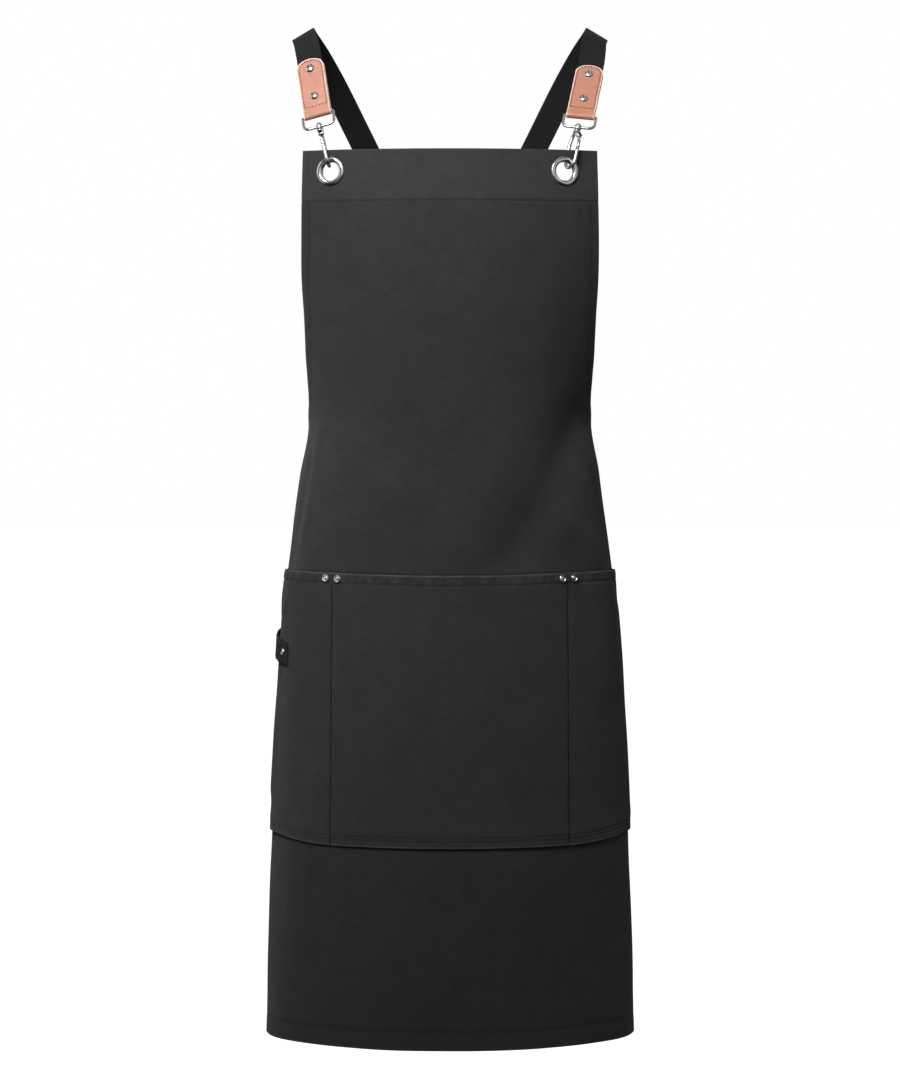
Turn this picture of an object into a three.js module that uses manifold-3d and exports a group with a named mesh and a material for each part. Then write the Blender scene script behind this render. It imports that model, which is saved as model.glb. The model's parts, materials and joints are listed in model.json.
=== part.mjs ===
// A cross back apron, worn: a bib and skirt in one piece of canvas, a pocket panel over the hips,
// two webbing straps that cross behind, and snap hooks that clip the straps to the bib's eyelets.
// Millimetres, +Z up, the front faces -Y. The origin lies midway between the two shoulders' strap tops.

import * as THREE from "three";
import { mergeVertices } from "three/addons/utils/BufferGeometryUtils.js";
import Module from "manifold-3d";

const wasm = await Module();
wasm.setup();

// Driving dimensions of the cloth
const APRON_LENGTH = 862;
const BIB_TOP_DROP = 121;
const CLOTH_HALF_WIDTH = 350;
const HIP_HALF_WIDTH = 183;
const FRONT_DEPTH = 134;
const BACK_DEPTH = 112;
const CLOTH_WALL = 1.1;
const HEM_WALL = 1.7;
const BAND_WALL = 2;
const BAND_HEIGHT = 51.5;
const SIDE_HEM = 11;
const BOTTOM_HEM = 20;
const GAP = 0.3;
const HEM_STEP = 0.8;
const NORMAL_STEP = 2;

// Driving dimensions of the pocket panel
const POCKET_DROP = 406;
const POCKET_HEIGHT = 262;
const POCKET_CORNER_LIFT = 6;
const POCKET_SIDE_INSET = 2;
const POCKET_WALL = 1.2;
const POCKET_HEM_WALL = 1.8;
const POCKET_HEM = 12;
const POCKET_SEAM_GAP = 0.6;
const DIVIDER_SPACING = 240;
const CENTRE_MOUTH_GAP = 8;
const SIDE_MOUTH_GAP = 6;
const SIDE_MOUTH_SPAN = 92;
const SEAM_FLAT = 12;
const MOUTH_SAG = 2;

// Driving dimensions of the towel loop
const LOOP_LENGTH = 70;
const LOOP_WIDTH = 22.8;
const LOOP_WALL = 1.6;
const LOOP_START = 178;
const LOOP_BELOW_POCKET = 81;
const LOOP_RISE = 0.17;
const LOOP_BULGE = 2.2;
const LOOP_RIVET_INSET = 8.5;

// Driving dimensions of the small rivets
const RIVET_CAP_RADIUS = 4;
const RIVET_CAP_HEIGHT = 1.7;
const RIVET_SHANK_RADIUS = 1.5;
const RIVET_WASHER_RADIUS = 3.5;
const RIVET_WASHER_HEIGHT = 0.9;
const WASHER_CLEARANCE = 1.2;
const POCKET_RIVET_OFFSET = 7.2;
const POCKET_RIVET_DROP = 5.6;
const TAB_RIVET_CAP_RADIUS = 4.35;
const TAB_RIVET_CAP_HEIGHT = 2;
const TAB_RIVET_SHANK_RADIUS = 1.5;

// Driving dimensions of the straps and leather tabs
const STRAP_WIDTH = 25;
const STRAP_WALL = 1.6;
const SHOULDER_HALF_SPACING = 144.6;
const CROSS_DROP = 276;
const STRAP_BACK_REACH = 97;
const STRAP_START = 8;
const STRAP_END_OVERLAP = 34;
const STRAP_END_SLOPE = 23.75;
const CROSS_CLEARANCE = 0.9;
const CROSS_REACH = 86;
const SEAM_CLEARANCE = 2;
const TAB_WIDTH = 27;
const TAB_LENGTH = 65;
const TAB_WALL = 1.6;
const TAB_TOP_ROUND = 9;
const TAB_FOLD_HEIGHT = 7.7;
const TAB_RIVET_UPPER = 11;
const TAB_RIVET_LOWER = 42;

// Driving dimensions of the ring, hook and eyelet
const RING_WIRE_RADIUS = 1.3;
const RING_SIDE_CLEARANCE = 0.7;
const RING_HEIGHT = 15;
const RING_UPPER_CORNER = 1.8;
const RING_LOWER_CORNER = 5.5;
const HUB_RADIUS = 3.1;
const HUB_HEIGHT = 4.4;
const STEM_RADIUS = 1.1;
const HEAD_RADIUS = 2.1;
const HEAD_HEIGHT = 1.4;
const COLLAR_RADIUS = 3.1;
const COLLAR_HEIGHT = 2.6;
const HOOK_LENGTH = 41;
const HOOK_BASE_LENGTH = 11;
const HOOK_WIRE_RADIUS = 1.8;
const HOOK_BEND_RADIUS = 6.4;
const HOOK_NOSE_LENGTH = 13.6;
const CHEEK_MARGIN = 1.9;
const CHEEK_DEPTH = 3.6;
const SLOT_BACK = 2.3;
const SLOT_TOP = 2.3;
const GATE_PIVOT_INSET = 1.9;
const GATE_PIVOT_RISE = 2.3;
const GATE_PIN_RADIUS = 0.6;
const GATE_TONGUE_WIDTH = 1.4;
const GATE_RADIUS = 1.5;
const EYELET_RADIUS = 14;
const EYELET_HOLE_RADIUS = 9;
const EYELET_WALL = 0.7;
const EYELET_CROWN = 0.6;
const EYELET_DROP = 20.6;
const EYELET_CLEARANCE = 0.45;

const DEGREE = Math.PI / 180;
const HOLE_REACH = 12;

// How finely the round shapes are faceted
const ROUND_SIDES = 8;
const WIRE_SIDES = 6;
const EYELET_SIDES = 16;
const WIRE_STEPS = 24;
const LOOP_STEPS = 12;
const STRAP_STEPS = 48;
const CORNER_STEPS = 3;
const BEND_STEPS = 8;
const ARC_STEPS = 120;

// How each side hangs, in degrees but for the last four columns.
// lean: the tab's lean toward the middle, back: backwards, tilt: the rise of its inner edge,
// ring_swing: the ring's turn from the tab's plane, hook_lean and hook_back: the hook's lean
// outwards and backwards, hook_yaw: its turn on the swivel. eyelet: the eyelet's distance from
// the middle, hang_out and hang_up: where the hook's bend lies in it, cross: 1 on the outer strap
const SIDES = [
  {
    name: "left", sign: -1, lean: 9.4, back: 26.4, tilt: 14.5, ring_swing: 6,
    hook_lean: 14, hook_back: 16, hook_yaw: 17, eyelet: 114.7, hang_out: 2, hang_up: 5.6, cross: 1,
  },
  {
    name: "right", sign: 1, lean: 12.5, back: 34, tilt: 6.5, ring_swing: 2,
    hook_lean: 13, hook_back: 13, hook_yaw: 18, eyelet: 110, hang_out: 4.8, hang_up: 3.9, cross: -1,
  },
];

// Body sections down the apron. drop: share of APRON_LENGTH, wide: share of HIP_HALF_WIDTH,
// front: share of FRONT_DEPTH, back: share of BACK_DEPTH
const SECTIONS = [
  { drop: 0.000, wide: 1.126, front: 0.873, back: 0.82 },
  { drop: 0.059, wide: 1.093, front: 0.907, back: 0.83 },
  { drop: 0.132, wide: 1.000, front: 0.918, back: 0.84 },
  { drop: 0.208, wide: 0.874, front: 0.907, back: 0.85 },
  { drop: 0.296, wide: 0.765, front: 0.884, back: 0.87 },
  { drop: 0.363, wide: 0.809, front: 0.881, back: 0.89 },
  { drop: 0.466, wide: 0.872, front: 0.907, back: 0.92 },
  { drop: 0.567, wide: 0.916, front: 0.940, back: 0.95 },
  { drop: 0.695, wide: 0.950, front: 0.970, back: 0.97 },
  { drop: 0.834, wide: 0.978, front: 0.985, back: 0.99 },
  { drop: 1.000, wide: 1.000, front: 1.000, back: 1.00 },
];

// The cloth's cut edge. drop: share of APRON_LENGTH, half: share of CLOTH_HALF_WIDTH
const EDGE = [
  { drop: 0.000, half: 0.419 },
  { drop: 0.059, half: 0.427 },
  { drop: 0.113, half: 0.436 },
  { drop: 0.180, half: 0.449 },
  { drop: 0.213, half: 0.460 },
  { drop: 0.246, half: 0.477 },
  { drop: 0.268, half: 0.495 },
  { drop: 0.282, half: 0.515 },
  { drop: 0.296, half: 0.560 },
  { drop: 0.312, half: 0.700 },
  { drop: 0.330, half: 0.835 },
  { drop: 0.346, half: 0.935 },
  { drop: 0.359, half: 1.000 },
  { drop: 1.000, half: 1.000 },
];

// The strap behind the shoulder. x: share of SHOULDER_HALF_SPACING, y: share of STRAP_BACK_REACH,
// z: share of CROSS_DROP, slope: how far the strap's inner edge is raised, degrees
const STRAP_ROUTE = [
  { x: 0.978, y: -0.250, z: -0.030, slope: 29 },
  { x: 1.000, y: 0.000, z: 0.000, slope: 31 },
  { x: 0.978, y: 0.260, z: -0.014, slope: 31 },
  { x: 0.910, y: 0.460, z: -0.064, slope: 29 },
  { x: 0.801, y: 0.630, z: -0.163, slope: 27 },
  { x: 0.597, y: 0.800, z: -0.375, slope: 27 },
  { x: 0.297, y: 0.930, z: -0.687, slope: 26 },
  { x: 0.000, y: 1.000, z: -1.000, slope: 26 },
  { x: -0.270, y: 0.985, z: -1.280, slope: 26 },
];

// The strap between the tab's layers, as shares of the way from STRAP_START to the tab's top
const TAB_STATIONS = [0, 0.31, 0.656, 0.885, 1, 1.093];

// The strap's end inside the waist's far corner. inset: its middle's distance from the cloth's
// edge, share of STRAP_WIDTH, below: its distance below the waist, share of STRAP_END_OVERLAP
const STRAP_END = [
  { inset: 0.52, below: 0.06 },
  { inset: 0.80, below: 0.50 },
  { inset: 1.12, below: 1.00 },
];

// Colours and finishes of the materials
const canvas = new THREE.MeshStandardMaterial({ color: 0x2b2b2c, roughness: 0.92, metalness: 0 });
const webbing = new THREE.MeshStandardMaterial({ color: 0x232324, roughness: 0.85, metalness: 0 });
const leather = new THREE.MeshStandardMaterial({ color: 0xc57f5f, roughness: 0.5, metalness: 0 });
const nickel = new THREE.MeshStandardMaterial({ color: 0xc9c9c9, roughness: 0.18, metalness: 1 });

const apron = new THREE.Group();

function addPiece(name, geometry, material) {
  const mesh = new THREE.Mesh(geometry, material);
  mesh.name = name;
  apron.add(mesh);
  return mesh;
}

// Solids for joining and cutting

function toSolid(geometry) {
  let plain = geometry.clone();
  plain.deleteAttribute("normal");
  plain.deleteAttribute("uv");
  plain = mergeVertices(plain, 1e-4);
  return new wasm.Manifold(new wasm.Mesh({
    numProp: 3,
    vertProperties: new Float32Array(plain.attributes.position.array),
    triVerts: new Uint32Array(plain.index.array),
  }));
}

function toGeometry(solid) {
  const mesh = solid.getMesh();
  const geometry = new THREE.BufferGeometry();
  geometry.setAttribute("position", new THREE.BufferAttribute(mesh.vertProperties, 3));
  geometry.setIndex(new THREE.BufferAttribute(mesh.triVerts, 1));
  geometry.computeVertexNormals();
  return geometry;
}

// A turned shape about +Z from [radius, height] points that go up its outside, axis to axis
function turned(points, sides = ROUND_SIDES) {
  return new THREE.LatheGeometry(points.map(([r, z]) => new THREE.Vector2(r, z)), sides)
    .rotateX(Math.PI / 2);
}

function disc(radius, low, high, sides = ROUND_SIDES) {
  return turned([[0, low], [radius, low], [radius, high], [0, high]], sides);
}

// The matrix that stands a shape's +Z along a direction, with its +X near a second direction
function frameAt(origin, along, sideways) {
  const z = along.clone().normalize();
  const x = sideways.clone().addScaledVector(z, -sideways.dot(z)).normalize();
  const y = new THREE.Vector3().crossVectors(z, x);
  return new THREE.Matrix4().makeBasis(x, y, z).setPosition(origin);
}

// A wall between an outer and an inner sheet of points, seen from outside: columns run to the
// right and rows run down. place(column, row, face) gives a point, where face is 1 outside and 0 inside
function wall(columns, rows, place) {
  const position = [];
  const index = [];
  const spot = (i, j, face) => (face * (rows + 1) + j) * (columns + 1) + i;
  for (const face of [0, 1]) {
    for (let j = 0; j <= rows; j++) {
      for (let i = 0; i <= columns; i++) {
        position.push(...place(i, j, face).toArray());
      }
    }
  }
  const quad = (a, b, c, d) => index.push(a, b, c, a, c, d);
  for (let j = 0; j < rows; j++) {
    for (let i = 0; i < columns; i++) {
      quad(spot(i, j, 1), spot(i, j + 1, 1), spot(i + 1, j + 1, 1), spot(i + 1, j, 1));
      quad(spot(i, j, 0), spot(i + 1, j, 0), spot(i + 1, j + 1, 0), spot(i, j + 1, 0));
    }
  }
  for (let i = 0; i < columns; i++) {
    quad(spot(i, 0, 1), spot(i + 1, 0, 1), spot(i + 1, 0, 0), spot(i, 0, 0));
    quad(spot(i + 1, rows, 1), spot(i, rows, 1), spot(i, rows, 0), spot(i + 1, rows, 0));
  }
  for (let j = 0; j < rows; j++) {
    quad(spot(0, j + 1, 1), spot(0, j, 1), spot(0, j, 0), spot(0, j + 1, 0));
    quad(spot(columns, j, 1), spot(columns, j + 1, 1), spot(columns, j + 1, 0), spot(columns, j, 0));
  }
  const geometry = new THREE.BufferGeometry();
  geometry.setAttribute("position", new THREE.Float32BufferAttribute(position, 3));
  geometry.setIndex(index);
  geometry.computeVertexNormals();
  return geometry;
}

// The body's surface

// A smooth value of a table's column at a share of the drop
function lookUp(table, column, share) {
  const last = table.length - 1;
  const slope = (k) => {
    const a = table[Math.max(k - 1, 0)];
    const b = table[Math.min(k + 1, last)];
    return (b[column] - a[column]) / (b.drop - a.drop);
  };
  let k = 0;
  while (k < last - 1 && share > table[k + 1].drop) k++;
  const low = table[k];
  const high = table[k + 1];
  const step = high.drop - low.drop;
  const t = THREE.MathUtils.clamp((share - low.drop) / step, 0, 1);
  return (2 * t ** 3 - 3 * t ** 2 + 1) * low[column] + (t ** 3 - 2 * t ** 2 + t) * step * slope(k)
    + (3 * t ** 2 - 2 * t ** 3) * high[column] + (t ** 3 - t ** 2) * step * slope(k + 1);
}

// Straight-sided look-up, for the cut edge and its corner at the waist
function lookUpStraight(table, column, share) {
  let k = 0;
  while (k < table.length - 2 && share > table[k + 1].drop) k++;
  const t = (share - table[k].drop) / (table[k + 1].drop - table[k].drop);
  return THREE.MathUtils.lerp(table[k][column], table[k + 1][column], t);
}

function sectionAt(drop) {
  const share = drop / APRON_LENGTH;
  return {
    wide: HIP_HALF_WIDTH * lookUp(SECTIONS, "wide", share),
    front: FRONT_DEPTH * lookUp(SECTIONS, "front", share),
    back: BACK_DEPTH * lookUp(SECTIONS, "back", share),
  };
}

// The angle round a section, from the front's middle, that lies an arc length s along the cloth
function angleAt(section, s) {
  const target = Math.abs(s);
  const step = Math.PI / ARC_STEPS;
  let angle = 0;
  let length = 0;
  for (;;) {
    const middle = angle + step / 2;
    const depth = middle < Math.PI / 2 ? section.front : section.back;
    const piece = step * Math.hypot(section.wide * Math.cos(middle), depth * Math.sin(middle));
    if (length + piece >= target || angle > Math.PI) {
      return Math.sign(s) * (angle + step * (target - length) / piece);
    }
    length += piece;
    angle += step;
  }
}

// The smooth outer face at arc length s from the middle and a drop below the bib's top
function smoothPoint(s, drop) {
  const section = sectionAt(drop);
  const angle = angleAt(section, s);
  const depth = Math.abs(angle) < Math.PI / 2 ? section.front : section.back;
  return new THREE.Vector3(section.wide * Math.sin(angle), -depth * Math.cos(angle), -BIB_TOP_DROP - drop);
}

function clothNormal(s, drop) {
  const right = smoothPoint(s + NORMAL_STEP, drop).sub(smoothPoint(s - NORMAL_STEP, drop));
  const down = smoothPoint(s, drop + NORMAL_STEP).sub(smoothPoint(s, drop - NORMAL_STEP));
  return new THREE.Vector3().crossVectors(down, right).normalize();
}

function halfWidthAt(drop) {
  return CLOTH_HALF_WIDTH * lookUpStraight(EDGE, "half", drop / APRON_LENGTH);
}

// Columns of half the cloth at its full width, from the middle to the side hem, as shares of
// the way from the middle to the divider seam, then from there to the hem's inner edge
const MIDDLE_COLUMNS = [0, 0.3, 0.6, 0.85, 1];
const OUTER_COLUMNS = [0.1, 0.21, 0.33, 0.46, 0.6, 0.74, 0.87, 1];
const DIVIDER = DIVIDER_SPACING / 2;

function halfColumns() {
  const inner = CLOTH_HALF_WIDTH - SIDE_HEM - HEM_STEP;
  const half = MIDDLE_COLUMNS.map((share) => share * DIVIDER);
  for (const share of OUTER_COLUMNS) half.push(THREE.MathUtils.lerp(DIVIDER, inner, share));
  return half;
}

// Columns across a row, squeezed between the two side hems
function columnsAt(drop) {
  const half = halfWidthAt(drop);
  const squeeze = (half - SIDE_HEM - HEM_STEP) / (CLOTH_HALF_WIDTH - SIDE_HEM - HEM_STEP);
  const right = halfColumns().map((s) => s * squeeze);
  right.push(half - SIDE_HEM, half);
  return [...right.slice(1).reverse().map((s) => -s), ...right];
}

// A point that stands off the cloth's outer face, on the flat strip between two of its columns
function offCloth(s, drop, height) {
  const columns = columnsAt(drop);
  let k = 0;
  while (k < columns.length - 2 && s > columns[k + 1]) k++;
  const [before, after] = [columns[k], columns[k + 1]].map((column) =>
    smoothPoint(column, drop).addScaledVector(clothNormal(column, drop), height));
  return before.lerp(after, (s - columns[k]) / (columns[k + 1] - columns[k]));
}

// The bib and skirt

const BIB_ROWS = [0.1, 0.15, 0.2];
const SKIRT_ROWS = 8;

// Rows of the cloth, with a close pair where a fold's inner edge lies
function bodyRows() {
  const rows = [0, BAND_HEIGHT * 0.5, BAND_HEIGHT, BAND_HEIGHT + HEM_STEP];
  for (const share of BIB_ROWS) rows.push(APRON_LENGTH * share);
  for (const point of EDGE.slice(5, -1)) rows.push(APRON_LENGTH * point.drop);
  const skirt = rows[rows.length - 1];
  const hem = APRON_LENGTH - BOTTOM_HEM;
  for (let k = 1; k < SKIRT_ROWS; k++) rows.push(THREE.MathUtils.lerp(skirt, hem, k / SKIRT_ROWS));
  rows.push(hem - HEM_STEP, hem, APRON_LENGTH);
  return rows;
}

function bodyWall(s, drop) {
  if (drop <= BAND_HEIGHT) return BAND_WALL;
  const atSide = Math.abs(s) > halfWidthAt(drop) - SIDE_HEM - HEM_STEP / 2;
  const atBottom = drop >= APRON_LENGTH - BOTTOM_HEM;
  return atSide || atBottom ? HEM_WALL : CLOTH_WALL;
}

function makeBody() {
  const rows = bodyRows();
  const place = (i, j, face) => {
    const drop = rows[j];
    const s = columnsAt(drop)[i];
    return offCloth(s, drop, face ? 0 : -bodyWall(s, drop));
  };
  return wall(columnsAt(0).length - 1, rows.length - 1, place);
}

// The pocket panel

const POCKET_HALF_WIDTH = CLOTH_HALF_WIDTH - POCKET_SIDE_INSET;
const POCKET_ROWS = [0.16, 0.31, 0.5, 0.72];
const LIFT_END = POCKET_HALF_WIDTH * 0.62;
const GAPE_FALL = 1.6;

// The panel's columns are the cloth's own, which it lies flat against, out to the panel's side
function pocketColumns() {
  const right = [...halfColumns(), CLOTH_HALF_WIDTH - SIDE_HEM, POCKET_HALF_WIDTH];
  return [...right.slice(1).reverse().map((s) => -s), ...right];
}

// How far the pocket's mouth stands off, from 0 at the seams to 1 where it gapes most
function gape(s) {
  const across = Math.abs(s);
  if (across < DIVIDER) return Math.cos(Math.PI * across / DIVIDER / 2) ** 2 * CENTRE_MOUTH_GAP;
  const share = THREE.MathUtils.clamp((across - DIVIDER - SEAM_FLAT) / SIDE_MOUTH_SPAN, 0, 1);
  return Math.sin(Math.PI * share) ** 2 * SIDE_MOUTH_GAP;
}

// The panel's drop below the bib's top at a share of its height, from 0 at the mouth to 1
function pocketDrop(s, share) {
  const across = Math.abs(s);
  const sag = across < DIVIDER ? MOUTH_SAG * Math.cos(Math.PI * across / DIVIDER / 2) : 0;
  const lift = POCKET_CORNER_LIFT * THREE.MathUtils.smoothstep(across, DIVIDER, LIFT_END);
  return THREE.MathUtils.lerp(POCKET_DROP + sag, POCKET_DROP + POCKET_HEIGHT - lift, share);
}

// The space between the apron and the panel
function pocketGap(s, share) {
  return POCKET_SEAM_GAP + gape(s) * (1 - share) ** GAPE_FALL;
}

function pocketWall(share) {
  const hem = POCKET_HEM / POCKET_HEIGHT;
  return share <= hem || share >= 1 - hem ? POCKET_HEM_WALL : POCKET_WALL;
}

function pocketOuter(s, share) {
  return pocketGap(s, share) + pocketWall(share);
}

function makePocket() {
  const columns = pocketColumns();
  const hem = POCKET_HEM / POCKET_HEIGHT;
  const step = HEM_STEP / POCKET_HEIGHT;
  const rows = [0, hem, hem + step, ...POCKET_ROWS, 1 - hem - step, 1 - hem, 1];
  const place = (i, j, face) => {
    const share = rows[j];
    const height = pocketGap(columns[i], share) + (face ? pocketWall(share) : 0);
    return offCloth(columns[i], pocketDrop(columns[i], share), height);
  };
  return wall(columns.length - 1, rows.length - 1, place);
}

// A capped rivet on +Z: its cap's underside at height 0, its washer's face at -grip
function rivet(grip, capRadius, capHeight, shankRadius, washerRadius) {
  const low = -grip - RIVET_WASHER_HEIGHT;
  return turned([
    [0, low], [washerRadius * 0.9, low], [washerRadius, -grip], [shankRadius, -grip], [shankRadius, 0],
    [capRadius, 0], [capRadius * 0.94, capHeight * 0.55], [capRadius * 0.55, capHeight], [0, capHeight],
  ]);
}

// A cutter for the hole that a shank or tube passes through
function holeCutter(matrix, radius, depth, sides = ROUND_SIDES) {
  const reach = radius / Math.cos(Math.PI / sides);
  return toSolid(disc(reach, -depth, depth, sides).applyMatrix4(matrix));
}

// A frame on the cloth's surface at a height, +Z outwards and +X to the right
function clothFrame(s, drop, height) {
  const right = smoothPoint(s + NORMAL_STEP, drop).sub(smoothPoint(s - NORMAL_STEP, drop));
  return frameAt(offCloth(s, drop, height), clothNormal(s, drop), right);
}

let body = toSolid(makeBody());
let pocket = toSolid(makePocket());

// Four rivets beside the tops of the divider seams
const pocketRivets = [];
const rivetPlaces = [-DIVIDER - POCKET_RIVET_OFFSET, -DIVIDER + POCKET_RIVET_OFFSET,
  DIVIDER - POCKET_RIVET_OFFSET, DIVIDER + POCKET_RIVET_OFFSET];
const rivetShare = POCKET_RIVET_DROP / POCKET_HEIGHT;
rivetPlaces.forEach((s, k) => {
  const height = pocketOuter(s, rivetShare) + GAP;
  const frame = clothFrame(s, pocketDrop(s, rivetShare), height);
  const cutter = holeCutter(frame, RIVET_SHANK_RADIUS + GAP, HOLE_REACH);
  body = body.subtract(cutter);
  pocket = pocket.subtract(cutter);
  const shape = rivet(height + CLOTH_WALL + WASHER_CLEARANCE, RIVET_CAP_RADIUS, RIVET_CAP_HEIGHT,
    RIVET_SHANK_RADIUS, RIVET_WASHER_RADIUS).applyMatrix4(frame);
  pocketRivets.push([`pocket_rivet_${k + 1}`, shape]);
});

// The towel loop, along the panel's left side

// The panel's share of height at a drop, and its outer height there
function panelHeightAt(s, drop) {
  const share = (drop - POCKET_DROP) / (pocketDrop(s, 1) - POCKET_DROP);
  return pocketOuter(s, share);
}

function loopSpot(t, across, height) {
  const s = -(LOOP_START + t * LOOP_LENGTH);
  const drop = POCKET_DROP + LOOP_BELOW_POCKET - LOOP_RISE * t * LOOP_LENGTH + across * LOOP_WIDTH;
  const bulge = LOOP_BULGE * Math.sin(Math.PI * t) ** 2;
  return { s, drop, height: panelHeightAt(s, drop) + GAP + bulge + height };
}

let loop = toSolid(wall(LOOP_STEPS, 1, (i, j, face) => {
  const spot = loopSpot(1 - i / LOOP_STEPS, j - 0.5, face * LOOP_WALL);
  return offCloth(spot.s, spot.drop, spot.height);
}));

const loopRivets = [];
const loopInset = LOOP_RIVET_INSET / LOOP_LENGTH;
for (const [end, t] of [["front", loopInset], ["back", 1 - loopInset]]) {
  const spot = loopSpot(t, 0, LOOP_WALL + GAP);
  const frame = clothFrame(spot.s, spot.drop, spot.height);
  const cutter = holeCutter(frame, RIVET_SHANK_RADIUS + GAP, HOLE_REACH);
  body = body.subtract(cutter);
  pocket = pocket.subtract(cutter);
  loop = loop.subtract(cutter);
  const shape = rivet(spot.height + CLOTH_WALL + WASHER_CLEARANCE, RIVET_CAP_RADIUS, RIVET_CAP_HEIGHT,
    RIVET_SHANK_RADIUS, RIVET_WASHER_RADIUS).applyMatrix4(frame);
  loopRivets.push([`loop_rivet_${end}`, shape]);
}

// The eyelets in the bib's band, whose flanges stand clear of the curved cloth on both faces

const EYELET_FRONT = EYELET_CLEARANCE;
const EYELET_BACK = -BAND_WALL - EYELET_CLEARANCE * 2.4;

// The arc length whose cloth lies a distance x from the middle
function arcAtX(x, drop) {
  const section = sectionAt(drop);
  const goal = Math.abs(x);
  let low = 0;
  let high = CLOTH_HALF_WIDTH;
  while (high - low > GAP / 1000) {
    const middle = (low + high) / 2;
    const reach = section.wide * Math.sin(Math.min(angleAt(section, middle), Math.PI / 2));
    if (reach < goal) low = middle;
    else high = middle;
  }
  return Math.sign(x) * low;
}

function makeEyelet() {
  const r = EYELET_HOLE_RADIUS;
  const tube = r + EYELET_WALL;
  const front = EYELET_FRONT + EYELET_WALL;
  const back = EYELET_BACK - EYELET_WALL;
  const round = EYELET_WALL * 1.6;
  const loopPoints = [
    [r, back + round], [r + round * 0.3, back + round * 0.3], [r + round, back], [EYELET_RADIUS, back],
    [EYELET_RADIUS, EYELET_BACK], [tube, EYELET_BACK], [tube, EYELET_FRONT], [EYELET_RADIUS, EYELET_FRONT],
    [EYELET_RADIUS - EYELET_WALL * 0.3, front], [(EYELET_RADIUS + tube) / 2, front + EYELET_CROWN],
    [r + round, front], [r + round * 0.3, front - round * 0.4], [r, front - round * 1.3], [r, back + round],
  ];
  return turned(loopPoints, EYELET_SIDES);
}

// A wire of round section along a path of points
function wire(points, radius) {
  const section = new THREE.Shape();
  section.absarc(0, 0, radius, 0, 2 * Math.PI);
  return new THREE.ExtrudeGeometry(section, {
    steps: WIRE_STEPS,
    curveSegments: WIRE_SIDES * 2 / 3,
    bevelEnabled: false,
    extrudePath: new THREE.CatmullRomCurve3(points),
  });
}

// How one side hangs, worked out from its eyelet up to the leather tab
function layOut(side) {
  const inward = -side.sign;
  const arc = arcAtX(side.sign * side.eyelet, EYELET_DROP);
  const eyelet = clothFrame(arc, EYELET_DROP, 0);
  // The hook's swivel lies up its axis from the bend, which hangs in the eyelet
  const hookUp = new THREE.Vector3(side.sign * Math.tan(side.hook_lean * DEGREE),
    Math.tan(side.hook_back * DEGREE), 1).normalize();
  const swivel = new THREE.Vector3(side.sign * side.hang_out, 0, (EYELET_FRONT + EYELET_BACK) / 2)
    .applyMatrix4(eyelet);
  swivel.z += side.hang_up;
  swivel.addScaledVector(hookUp, HOOK_LENGTH);
  const hookOut = clothNormal(arc, EYELET_DROP).applyAxisAngle(hookUp, side.hook_yaw * DEGREE);
  // The tab's own directions: up its length, and across it to the right
  const tabUp = new THREE.Vector3(-inward * Math.tan(side.lean * DEGREE),
    Math.tan(side.back * DEGREE), 1).normalize();
  const rise = Math.tan(side.tilt * DEGREE);
  const depth = -(inward * tabUp.x + rise * tabUp.z) / tabUp.y;
  const across = new THREE.Vector3(inward, depth, rise).normalize().multiplyScalar(inward);
  const ringUp = tabUp.clone().applyAxisAngle(across, -side.ring_swing * DEGREE);
  const bar = swivel.clone().addScaledVector(ringUp, RING_HEIGHT);
  return {
    side,
    eyelet,
    across,
    tabUp,
    hub: frameAt(swivel, hookUp, across),
    hook: frameAt(swivel, hookUp, hookOut),
    ring: uprightFrame(swivel, across, ringUp),
    tab: uprightFrame(bar, across, tabUp),
    bar,
  };
}

// The matrix that stands a flat shape's x across and its y up
function uprightFrame(origin, across, up) {
  const out = new THREE.Vector3().crossVectors(across, up);
  return new THREE.Matrix4().makeBasis(across, up, out).setPosition(origin);
}

// Stands a shape extruded along its depth so that its y runs up and its depth runs along y
function stand(geometry, depth) {
  return geometry.translate(0, 0, -depth / 2).rotateX(Math.PI / 2);
}

// The ring: a rounded frame of wire with the hub that the hook turns in. Its x runs along the
// bars and its y up, with the hub's centre at the origin

function ringLoop() {
  const half = TAB_WIDTH / 2 + RING_SIDE_CLEARANCE + RING_WIRE_RADIUS;
  const corners = [
    { x: half, y: 0, radius: RING_LOWER_CORNER, from: -90 },
    { x: half, y: RING_HEIGHT, radius: RING_UPPER_CORNER, from: 0 },
    { x: -half, y: RING_HEIGHT, radius: RING_UPPER_CORNER, from: 90 },
    { x: -half, y: 0, radius: RING_LOWER_CORNER, from: 180 },
  ];
  const points = [];
  for (const corner of corners) {
    const cx = corner.x - Math.sign(corner.x) * corner.radius;
    const cy = corner.y === 0 ? corner.radius : corner.y - corner.radius;
    for (let k = 0; k <= CORNER_STEPS; k++) {
      const angle = (corner.from + 90 * k / CORNER_STEPS) * DEGREE;
      const point = new THREE.Vector2(Math.cos(angle), Math.sin(angle)).multiplyScalar(corner.radius);
      points.push(point.add(new THREE.Vector2(cx, cy)));
    }
  }
  return points;
}

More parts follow.
